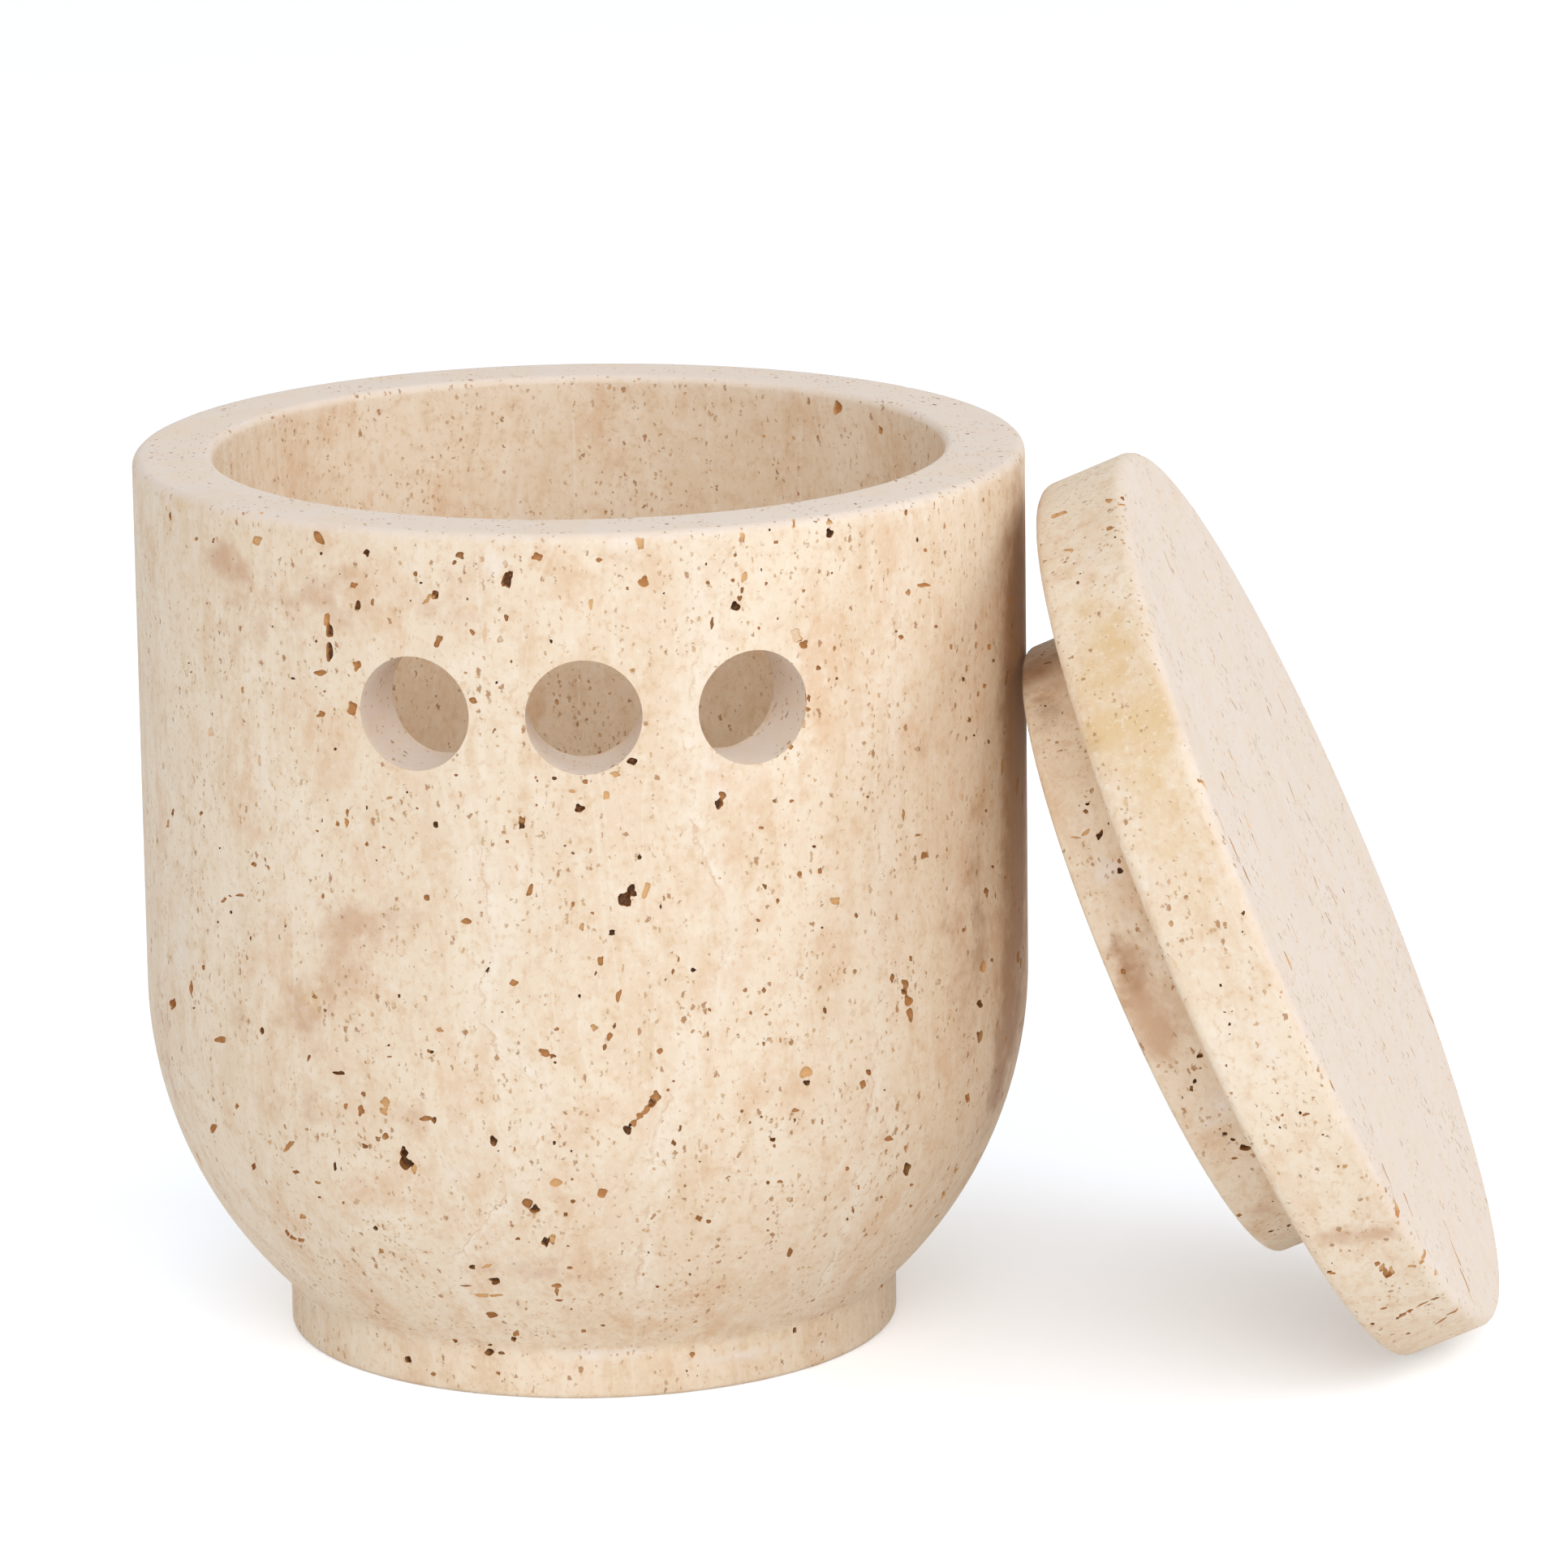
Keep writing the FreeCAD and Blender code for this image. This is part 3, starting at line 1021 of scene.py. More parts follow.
# Holes of the jar that the photograph shows. Each row has the pixel in the hole's middle, its width and its
# height in pixels, its tone, and how far its upper end leans to the right, in degrees.
JAR_HOLES = [
    (210, 636, 4, 14, BROWN, 0), (242, 664, 5, 6, BROWN, 0), (263, 666, 4, 8, BROWN, 20),
    (317, 666, 13, 12, OCHRE, 0), (393, 663, 11, 20, BROWN, -35), (396, 682, 5, 5, DARK, 0),
    (451, 668, 12, 14, FAINT, 0), (452, 681, 9, 11, DARK, 0), (449, 646, 4, 4, BROWN, 0),
    (419, 707, 7, 7, BROWN, 0), (436, 721, 10, 8, BROWN, 0), (441, 746, 8, 15, DARK, 15),
    (459, 742, 5, 12, BROWN, 0), (487, 676, 6, 6, FAINT, 0), (512, 707, 7, 10, BROWN, 0),
    (519, 718, 7, 5, DARK, 0), (506, 740, 6, 7, BROWN, 0), (527, 738, 8, 18, OCHRE, 30),
    (403, 764, 8, 18, BROWN, -8), (406, 777, 9, 18, DARK, -12), (406, 803, 9, 22, DARK, -5),
    (390, 790, 6, 8, BROWN, 0), (430, 785, 10, 12, FAINT, 0), (440, 820, 10, 12, BROWN, 0),
    (395, 829, 16, 9, BROWN, 0), (361, 836, 7, 4, DARK, 0), (299, 850, 5, 13, OCHRE, 0),
    (283, 846, 8, 8, FAINT, 0), (390, 846, 7, 5, BROWN, 0), (400, 852, 5, 4, BROWN, 0),
    (434, 873, 12, 16, BROWN, 0), (396, 880, 11, 8, BROWN, 0), (379, 880, 7, 14, FAINT, 0),
    (398, 895, 4, 4, BROWN, 0), (413, 923, 4, 5, DARK, 0), (336, 772, 3, 4, DARK, 0),
    (260, 902, 8, 14, FAINT, 0), (262, 880, 5, 10, FAINT, 0), (320, 937, 5, 17, FAINT, 0),
    (233, 817, 4, 3, BROWN, 0), (236, 828, 4, 3, BROWN, 0), (300, 633, 5, 4, OCHRE, 0),
    (322, 632, 5, 4, OCHRE, 0), (536, 733, 9, 12, DARK, 0), (533, 778, 9, 16, FAINT, 0),
    (540, 790, 11, 18, BROWN, 20), (567, 684, 16, 12, BROWN, 20), (560, 693, 7, 8, BROWN, 30),
    (623, 695, 9, 14, FAINT, 0), (625, 714, 12, 20, DARK, 10), (662, 686, 14, 12, BROWN, 0),
    (687, 678, 4, 3, BROWN, 0), (738, 690, 9, 7, BROWN, 0), (789, 671, 11, 18, OCHRE, 10),
    (793, 717, 12, 13, BROWN, 0), (773, 725, 5, 5, BROWN, 0), (870, 695, 3, 4, DARK, 0),
    (872, 718, 7, 7, BROWN, 0), (876, 732, 5, 14, FAINT, 0), (878, 750, 6, 18, FAINT, 0),
    (877, 768, 9, 22, BROWN, 5), (576, 738, 6, 8, BROWN, 0), (567, 738, 10, 8, FAINT, 0),
    (587, 758, 7, 12, FAINT, 0), (582, 779, 6, 12, BROWN, -30), (597, 780, 5, 20, FAINT, 0),
    (624, 761, 9, 12, BROWN, 0), (645, 762, 6, 7, BROWN, 0), (616, 788, 14, 12, FAINT, 0),
    (679, 790, 6, 8, DARK, 0), (728, 744, 5, 12, OCHRE, 0), (744, 771, 7, 9, OCHRE, 0),
    (773, 768, 11, 8, OCHRE, 0), (800, 795, 4, 4, BROWN, 0), (818, 731, 3, 3, DARK, 0),
    (818, 715, 4, 8, BROWN, 0), (630, 815, 5, 6, BROWN, 0), (612, 841, 4, 4, DARK, 0),
    (583, 863, 13, 9, BROWN, 0), (609, 900, 5, 12, BROWN, 40), (779, 826, 10, 6, OCHRE, -30),
    (790, 845, 8, 9, FAINT, 0), (797, 858, 6, 7, FAINT, 0), (810, 872, 5, 5, BROWN, 0),
    (827, 851, 7, 7, FAINT, 0), (815, 885, 4, 8, BROWN, 0), (812, 910, 5, 3, BROWN, 0),
    (779, 938, 13, 11, DARK, 0), (758, 954, 14, 8, OCHRE, 0), (562, 955, 8, 6, BROWN, 0),
    (660, 958, 4, 4, BROWN, 0), (915, 662, 6, 16, OCHRE, -10), (919, 678, 7, 16, OCHRE, 0),
    (919, 695, 7, 16, OCHRE, 8), (917, 711, 7, 16, OCHRE, 12), (914, 727, 7, 16, BROWN, 12),
    (911, 737, 8, 13, BROWN, 15), (906, 747, 13, 14, DARK, 20), (906, 684, 5, 5, BROWN, 0),
    (903, 715, 6, 6, BROWN, 0), (948, 653, 4, 5, DARK, 0), (956, 668, 7, 6, BROWN, 0),
    (1021, 641, 8, 12, OCHRE, 0), (1022, 657, 11, 14, DARK, 15), (1003, 644, 4, 4, BROWN, 0),
    (978, 643, 4, 14, BROWN, 0), (938, 702, 3, 5, DARK, 0), (944, 719, 5, 5, BROWN, 0),
    (990, 728, 5, 5, BROWN, 0), (1025, 706, 3, 3, DARK, 0), (1037, 684, 5, 6, FAINT, 0),
    (958, 762, 6, 9, BROWN, 0), (961, 772, 8, 8, OCHRE, 0), (981, 783, 14, 18, FAINT, -35),
    (990, 794, 13, 12, BROWN, -30), (935, 774, 4, 6, BROWN, 0), (1028, 799, 4, 10, BROWN, 0),
    (1030, 816, 5, 8, FAINT, 0), (1008, 823, 8, 9, BROWN, 0), (1008, 836, 5, 10, FAINT, 0),
    (1031, 836, 4, 4, DARK, 0), (996, 860, 8, 14, BROWN, 0), (995, 874, 8, 8, BROWN, 0),
    (1130, 665, 4, 7, DARK, 0), (1140, 678, 5, 5, BROWN, 0), (1138, 721, 14, 6, BROWN, 0),
    (1119, 730, 6, 8, BROWN, 0), (1116, 631, 6, 8, BROWN, 0), (1110, 785, 7, 8, BROWN, 0),
    (1104, 778, 5, 6, BROWN, 0), (1153, 772, 6, 5, BROWN, 0), (1172, 797, 4, 10, BROWN, 0),
    (1219, 797, 5, 9, BROWN, 0), (1224, 814, 4, 5, DARK, 0), (1187, 837, 5, 6, DARK, 0),
    (1213, 845, 5, 5, BROWN, 0), (1205, 855, 4, 8, BROWN, 0), (1194, 887, 6, 8, BROWN, 0),
    (1200, 906, 4, 4, DARK, 0), (1218, 914, 4, 8, DARK, 0), (1130, 923, 14, 11, FAINT, 0),
    (1235, 945, 4, 20, DARK, 0), (502, 976, 8, 8, BROWN, 0), (514, 996, 5, 4, BROWN, 0),
    (480, 983, 10, 6, OCHRE, 0), (462, 973, 4, 3, BROWN, 0), (452, 995, 3, 8, DARK, 0),
    (428, 1001, 5, 11, BROWN, 10), (427, 1013, 5, 11, BROWN, -20), (435, 1023, 8, 6, OCHRE, -45),
    (416, 1015, 6, 7, BROWN, -20), (458, 1024, 10, 5, OCHRE, 0), (420, 1031, 5, 4, BROWN, 0),
    (452, 1040, 6, 7, BROWN, 0), (473, 1044, 6, 4, BROWN, 0), (496, 1044, 4, 2, BROWN, 0),
    (464, 1060, 3, 3, DARK, 0), (478, 1074, 3, 2, DARK, 0), (397, 1054, 3, 6, BROWN, 0),
    (397, 1011, 2, 5, DARK, 0), (381, 1005, 4, 3, BROWN, 0), (368, 987, 4, 7, OCHRE, 0),
    (391, 1024, 5, 4, BROWN, 0), (248, 1002, 5, 6, BROWN, 30), (213, 1001, 4, 12, BROWN, 15),
    (207, 1015, 4, 13, OCHRE, 15), (271, 1045, 4, 3, DARK, 0), (313, 1065, 8, 7, BROWN, 0),
    (306, 1050, 6, 6, FAINT, 0), (327, 1059, 5, 9, OCHRE, -15), (331, 1069, 5, 9, OCHRE, -15),
    (336, 1080, 5, 9, OCHRE, -20), (280, 1078, 7, 6, FAINT, 0), (319, 1088, 5, 2, DARK, 0),
    (309, 1091, 4, 2, BROWN, 0), (276, 1109, 5, 8, BROWN, 45), (284, 1104, 8, 5, OCHRE, 20),
    (296, 1103, 12, 5, BROWN, 0), (285, 1124, 5, 6, DARK, 0), (269, 1136, 7, 7, OCHRE, 0),
    (352, 1141, 4, 5, BROWN, 0), (309, 1156, 3, 6, DARK, 0), (398, 1104, 5, 7, BROWN, 0),
    (526, 1106, 10, 10, BROWN, 0), (251, 1192, 5, 10, BROWN, 0), (236, 1217, 6, 16, BROWN, 0),
    (213, 1237, 9, 18, BROWN, 20), (239, 1242, 5, 4, BROWN, 0), (272, 1281, 15, 9, BROWN, 0),
    (323, 1270, 7, 9, DARK, 0), (492, 1227, 5, 6, DARK, 0), (401, 1245, 9, 9, OCHRE, 0),
    (388, 1228, 12, 9, OCHRE, 0), (429, 1282, 5, 4, BROWN, 0), (493, 1264, 3, 4, BROWN, 0),
    (479, 1288, 4, 3, DARK, 0), (480, 1302, 8, 3, BROWN, 0), (454, 1308, 5, 6, FAINT, 0),
    (381, 1303, 6, 12, BROWN, 20), (418, 1322, 16, 7, DARK, 0), (528, 1295, 5, 7, BROWN, 0),
    (537, 1016, 9, 10, DARK, 0), (683, 959, 8, 6, DARK, 0), (721, 963, 9, 8, BROWN, 0),
    (662, 962, 5, 5, BROWN, 0), (705, 975, 9, 6, OCHRE, 0), (714, 996, 13, 12, DARK, 0),
    (643, 1011, 11, 14, BROWN, 0), (643, 1018, 9, 9, DARK, 0), (625, 1037, 6, 6, BROWN, 0),
    (747, 980, 8, 12, OCHRE, 0), (747, 993, 6, 12, OCHRE, 0), (890, 980, 12, 14, BROWN, 0),
    (886, 990, 10, 13, DARK, 0), (656, 1002, 4, 4, BROWN, 0), (677, 1001, 4, 4, BROWN, 0),
    (661, 992, 4, 4, BROWN, 0), (770, 1015, 7, 6, OCHRE, 0), (696, 1042, 10, 6, BROWN, 0),
    (706, 1051, 8, 7, BROWN, 0), (692, 1062, 8, 8, BROWN, 0), (721, 1062, 9, 9, FAINT, 0),
    (788, 1056, 6, 9, DARK, 0), (777, 1042, 5, 5, BROWN, 0), (742, 1029, 4, 12, FAINT, 0),
    (664, 1030, 11, 6, FAINT, 0), (646, 1070, 3, 5, DARK, 0), (653, 1097, 8, 17, BROWN, 20),
    (769, 1090, 3, 3, DARK, 0), (778, 1098, 14, 17, DARK, 10), (770, 1108, 18, 22, DARK, 20),
    (796, 1097, 8, 20, OCHRE, 10), (819, 1083, 8, 14, OCHRE, 0), (818, 1107, 6, 10, OCHRE, 0),
    (814, 1117, 4, 9, DARK, 10), (706, 1114, 5, 8, BROWN, 0), (730, 1125, 6, 5, BROWN, 0),
    (717, 1142, 8, 17, OCHRE, 10), (754, 1149, 10, 8, DARK, 0), (756, 1158, 9, 8, OCHRE, 0),
    (784, 1148, 7, 5, BROWN, 0), (782, 1159, 3, 3, DARK, 0), (575, 1135, 13, 9, BROWN, 10),
    (564, 1142, 6, 3, BROWN, 0), (604, 1186, 4, 10, DARK, 20), (601, 1195, 4, 11, DARK, 25),
    (740, 1184, 8, 15, BROWN, 15), (734, 1199, 8, 17, BROWN, 20), (761, 1201, 10, 14, OCHRE, 0),
    (633, 1211, 11, 9, BROWN, 0), (762, 1227, 7, 16, BROWN, 10), (714, 1227, 6, 7, DARK, 0),
    (741, 1243, 10, 12, OCHRE, 0), (732, 1266, 11, 11, OCHRE, 0), (757, 1264, 8, 14, BROWN, 20),
    (751, 1277, 8, 14, BROWN, 25), (745, 1290, 8, 15, BROWN, 20), (829, 1197, 6, 12, BROWN, 10),
    (820, 1207, 6, 9, BROWN, 0), (854, 1195, 9, 7, DARK, 0), (845, 1221, 3, 5, DARK, 0),
    (836, 1182, 4, 10, BROWN, 10), (813, 1295, 8, 10, BROWN, 0), (846, 1308, 5, 13, BROWN, 0),
    (872, 1293, 5, 9, BROWN, 0), (857, 1288, 8, 8, FAINT, 0), (872, 1274, 4, 11, BROWN, 0),
    (874, 1244, 5, 7, BROWN, -40), (881, 1251, 6, 7, BROWN, -50), (888, 1257, 3, 3, DARK, 0),
    (895, 1128, 8, 5, BROWN, 0), (671, 1297, 14, 12, BROWN, 20), (681, 1301, 13, 10, BROWN, -20),
    (684, 1309, 5, 5, DARK, 0), (542, 1269, 12, 8, OCHRE, 0), (532, 1296, 7, 6, DARK, 0),
    (583, 1244, 4, 4, BROWN, 0), (591, 1249, 3, 3, BROWN, 0), (619, 1247, 5, 4, BROWN, 0),
    (685, 1236, 8, 9, OCHRE, 0), (686, 1268, 8, 5, BROWN, 0), (954, 987, 8, 6, BROWN, 0),
    (975, 987, 7, 5, BROWN, 0), (934, 1006, 10, 4, BROWN, 0), (938, 1020, 8, 5, BROWN, 0),
    (1003, 1043, 6, 5, DARK, 0), (985, 1077, 7, 9, BROWN, 0), (1010, 1073, 6, 11, BROWN, 10),
    (1033, 1073, 3, 6, BROWN, 0), (942, 1092, 8, 12, BROWN, -30), (958, 1110, 6, 8, BROWN, 0),
    (1029, 1110, 13, 9, OCHRE, 0), (1055, 1128, 6, 8, BROWN, 0), (934, 1134, 7, 6, BROWN, 0),
    (933, 1146, 3, 8, BROWN, 0), (990, 1125, 3, 10, BROWN, 0), (1013, 1143, 4, 3, DARK, 0),
    (1053, 1197, 8, 9, OCHRE, 0), (1099, 1205, 7, 16, BROWN, 10), (1115, 1213, 10, 15, BROWN, -10),
    (1114, 1222, 8, 10, DARK, 0), (1119, 1233, 11, 16, BROWN, -15), (1121, 1250, 9, 18, BROWN, -10),
    (1016, 1245, 8, 13, BROWN, 0), (944, 1250, 6, 4, BROWN, 0), (925, 1248, 5, 5, BROWN, 0),
    (905, 1241, 6, 5, BROWN, 0), (918, 1220, 7, 6, BROWN, 0), (941, 1220, 8, 8, BROWN, 0),
    (941, 1286, 5, 8, BROWN, 0), (1138, 1054, 9, 11, BROWN, 0), (1131, 1029, 7, 4, BROWN, 0),
    (1113, 1004, 4, 14, BROWN, 0), (1109, 1018, 9, 8, FAINT, 0), (1069, 982, 5, 5, BROWN, 0),
    (1121, 1070, 5, 6, BROWN, 0), (1126, 1135, 8, 16, FAINT, 0), (1122, 1181, 5, 10, BROWN, 0),
    (1156, 1210, 9, 11, FAINT, 0), (1187, 1146, 5, 6, BROWN, 0), (1215, 999, 3, 5, DARK, 0),
    (1223, 1068, 4, 6, DARK, 0), (1239, 1081, 5, 4, BROWN, 0), (1215, 1099, 7, 14, BROWN, 0),
    (1211, 1191, 7, 14, BROWN, 0), (1207, 1237, 9, 10, DARK, 0), (1207, 1277, 7, 16, DARK, 0),
    (1222, 1183, 5, 6, BROWN, 0), (993, 1321, 15, 14, OCHRE, 0), (994, 1334, 10, 8, DARK, 0),
    (1070, 1321, 8, 11, BROWN, 0), (1063, 1336, 9, 10, BROWN, 0), (292, 1363, 5, 9, BROWN, 0),
    (263, 1390, 8, 16, BROWN, 30), (245, 1427, 8, 22, OCHRE, -10), (313, 1437, 7, 12, BROWN, 20),
    (356, 1412, 6, 17, BROWN, 40), (365, 1444, 9, 7, BROWN, 0), (392, 1457, 11, 6, OCHRE, 0),
    (394, 1475, 5, 5, BROWN, 0), (373, 1499, 9, 8, OCHRE, 0), (354, 1519, 5, 10, BROWN, -20),
    (361, 1525, 9, 6, BROWN, 30), (371, 1528, 9, 5, BROWN, 10), (413, 1437, 5, 13, DARK, 0),
    (426, 1363, 6, 8, BROWN, 0), (448, 1348, 8, 10, BROWN, 0), (445, 1368, 9, 14, BROWN, 0),
    (475, 1358, 14, 12, OCHRE, 0), (473, 1369, 12, 10, OCHRE, 20), (525, 1378, 18, 9, BROWN, 0),
    (535, 1380, 8, 9, DARK, 0), (466, 1403, 12, 10, OCHRE, 0), (475, 1400, 10, 9, BROWN, 0),
    (450, 1412, 13, 8, BROWN, 20), (498, 1420, 12, 15, DARK, 0), (500, 1433, 19, 20, DARK, 0),
    (510, 1440, 8, 14, OCHRE, 0), (480, 1438, 3, 4, DARK, 0), (440, 1480, 9, 10, FAINT, 0),
    (423, 1482, 4, 5, BROWN, 0), (463, 1513, 8, 8, DARK, 0), (470, 1541, 8, 8, OCHRE, 0),
    (503, 1675, 9, 11, DARK, 0), (409, 1594, 12, 3, FAINT, 0), (458, 1590, 5, 8, FAINT, 0),
    (608, 1406, 11, 12, DARK, 0), (634, 1416, 3, 7, BROWN, 0), (614, 1418, 5, 3, BROWN, 0),
    (683, 1408, 5, 7, DARK, 0), (704, 1418, 5, 6, DARK, 0), (652, 1371, 4, 4, BROWN, 0),
    (808, 1351, 15, 14, BROWN, 45), (803, 1360, 9, 12, DARK, 40), (796, 1368, 9, 13, BROWN, 45),
    (788, 1375, 9, 13, BROWN, 45), (780, 1384, 9, 13, BROWN, 40), (773, 1392, 14, 13, DARK, 30),
    (788, 1412, 5, 14, OCHRE, 0), (838, 1390, 7, 16, BROWN, 15), (830, 1408, 10, 12, BROWN, 0),
    (836, 1358, 6, 6, BROWN, 0), (862, 1431, 4, 4, DARK, 0), (861, 1408, 5, 12, FAINT, 0),
    (823, 1343, 5, 5, BROWN, 0), (830, 1332, 5, 5, BROWN, 0), (732, 1428, 4, 2, BROWN, 0),
    (650, 1482, 17, 16, BROWN, 0), (659, 1490, 13, 12, DARK, -30), (690, 1481, 6, 6, BROWN, 0),
    (706, 1480, 8, 8, BROWN, 0), (742, 1470, 12, 11, BROWN, 0), (697, 1496, 9, 8, BROWN, 0),
    (695, 1516, 5, 5, BROWN, 0), (672, 1530, 9, 15, DARK, 0), (680, 1527, 10, 13, OCHRE, 0),
    (700, 1535, 6, 4, BROWN, 0), (638, 1526, 8, 6, BROWN, 0), (685, 1457, 15, 11, OCHRE, 0),
    (705, 1453, 5, 4, BROWN, 0), (667, 1441, 8, 12, FAINT, 0), (763, 1455, 5, 4, BROWN, 0),
    (844, 1461, 4, 5, BROWN, 0), (824, 1475, 4, 8, BROWN, 0), (784, 1489, 4, 5, BROWN, 0),
    (861, 1501, 10, 9, BROWN, 0), (873, 1505, 8, 7, BROWN, 0), (799, 1543, 5, 5, BROWN, 0),
    (849, 1553, 4, 4, BROWN, 0), (850, 1570, 5, 5, BROWN, 0), (582, 1561, 10, 7, DARK, 0),
    (600, 1560, 11, 5, OCHRE, -15), (612, 1558, 12, 5, OCHRE, 10), (610, 1578, 16, 9, DARK, 0),
    (574, 1584, 16, 4, BROWN, 0), (594, 1596, 17, 5, OCHRE, 5), (611, 1596, 17, 5, OCHRE, -5),
    (606, 1620, 16, 9, BROWN, 0), (686, 1584, 12, 7, BROWN, 0), (686, 1591, 6, 9, BROWN, 0),
    (702, 1562, 8, 5, BROWN, 0), (689, 1602, 13, 3, BROWN, 0), (704, 1613, 4, 4, BROWN, 0),
    (636, 1643, 7, 9, BROWN, 20), (633, 1650, 7, 8, DARK, -20), (638, 1605, 5, 10, FAINT, 0),
    (603, 1666, 12, 8, DARK, 0), (618, 1667, 16, 8, BROWN, 0), (616, 1681, 6, 12, BROWN, 0),
    (614, 1692, 7, 6, BROWN, 0), (619, 1702, 4, 4, BROWN, 0), (561, 1652, 6, 8, BROWN, 0),
    (604, 1657, 8, 4, BROWN, 0), (534, 1693, 8, 6, BROWN, 0), (810, 1585, 7, 5, BROWN, 0),
    (743, 1633, 7, 4, BROWN, 0), (719, 1640, 7, 5, BROWN, 0), (853, 1669, 7, 8, BROWN, 0),
    (751, 1672, 4, 4, BROWN, 0), (808, 1683, 7, 12, FAINT, 0), (846, 1689, 4, 5, DARK, 0),
    (859, 1695, 4, 4, BROWN, 0), (768, 1696, 4, 4, BROWN, 0), (906, 1355, 8, 7, FAINT, 0),
    (914, 1369, 6, 6, BROWN, 0), (938, 1376, 8, 7, BROWN, 0), (924, 1383, 5, 5, BROWN, 0),
    (980, 1368, 10, 5, BROWN, 0), (979, 1380, 6, 12, BROWN, 0), (952, 1404, 9, 7, DARK, 0),
    (954, 1412, 5, 5, BROWN, 0), (1095, 1403, 12, 6, BROWN, 0), (1116, 1415, 4, 9, BROWN, 0),
    (1117, 1440, 10, 16, DARK, 15), (1044, 1440, 5, 6, BROWN, 0), (946, 1457, 7, 7, BROWN, 0),
    (961, 1456, 8, 4, BROWN, 0), (957, 1442, 3, 5, BROWN, 0), (1058, 1463, 3, 8, BROWN, 0),
    (1051, 1491, 4, 9, BROWN, 0), (1044, 1502, 4, 5, BROWN, 0), (973, 1543, 8, 15, BROWN, 20),
    (946, 1502, 4, 4, BROWN, 0), (946, 1516, 4, 4, BROWN, 0), (1192, 1353, 6, 14, BROWN, 0),
    (1177, 1442, 4, 8, BROWN, 0), (1162, 1471, 5, 10, BROWN, 0), (1154, 1498, 10, 5, BROWN, 0),
    (1123, 1460, 5, 5, BROWN, 0), (1122, 1486, 4, 5, BROWN, 0), (1086, 1475, 4, 5, BROWN, 0),
    (1086, 1584, 6, 7, BROWN, 0), (979, 1639, 5, 9, DARK, 0), (963, 1678, 5, 7, BROWN, 0),
    (979, 1676, 4, 12, FAINT, 0), (1090, 1343, 3, 3, DARK, 0), (936, 1335, 4, 4, BROWN, 0),
    (471, 888, 4, 7, DARK, 0), (455, 901, 5, 10, BROWN, 0), (459, 845, 5, 10, BROWN, 0),
    (505, 928, 8, 4, BROWN, 0), (964, 868, 7, 15, BROWN, 30), (940, 904, 8, 7, DARK, 0),
    (962, 925, 9, 6, OCHRE, 20), (974, 920, 9, 7, BROWN, 40),
]

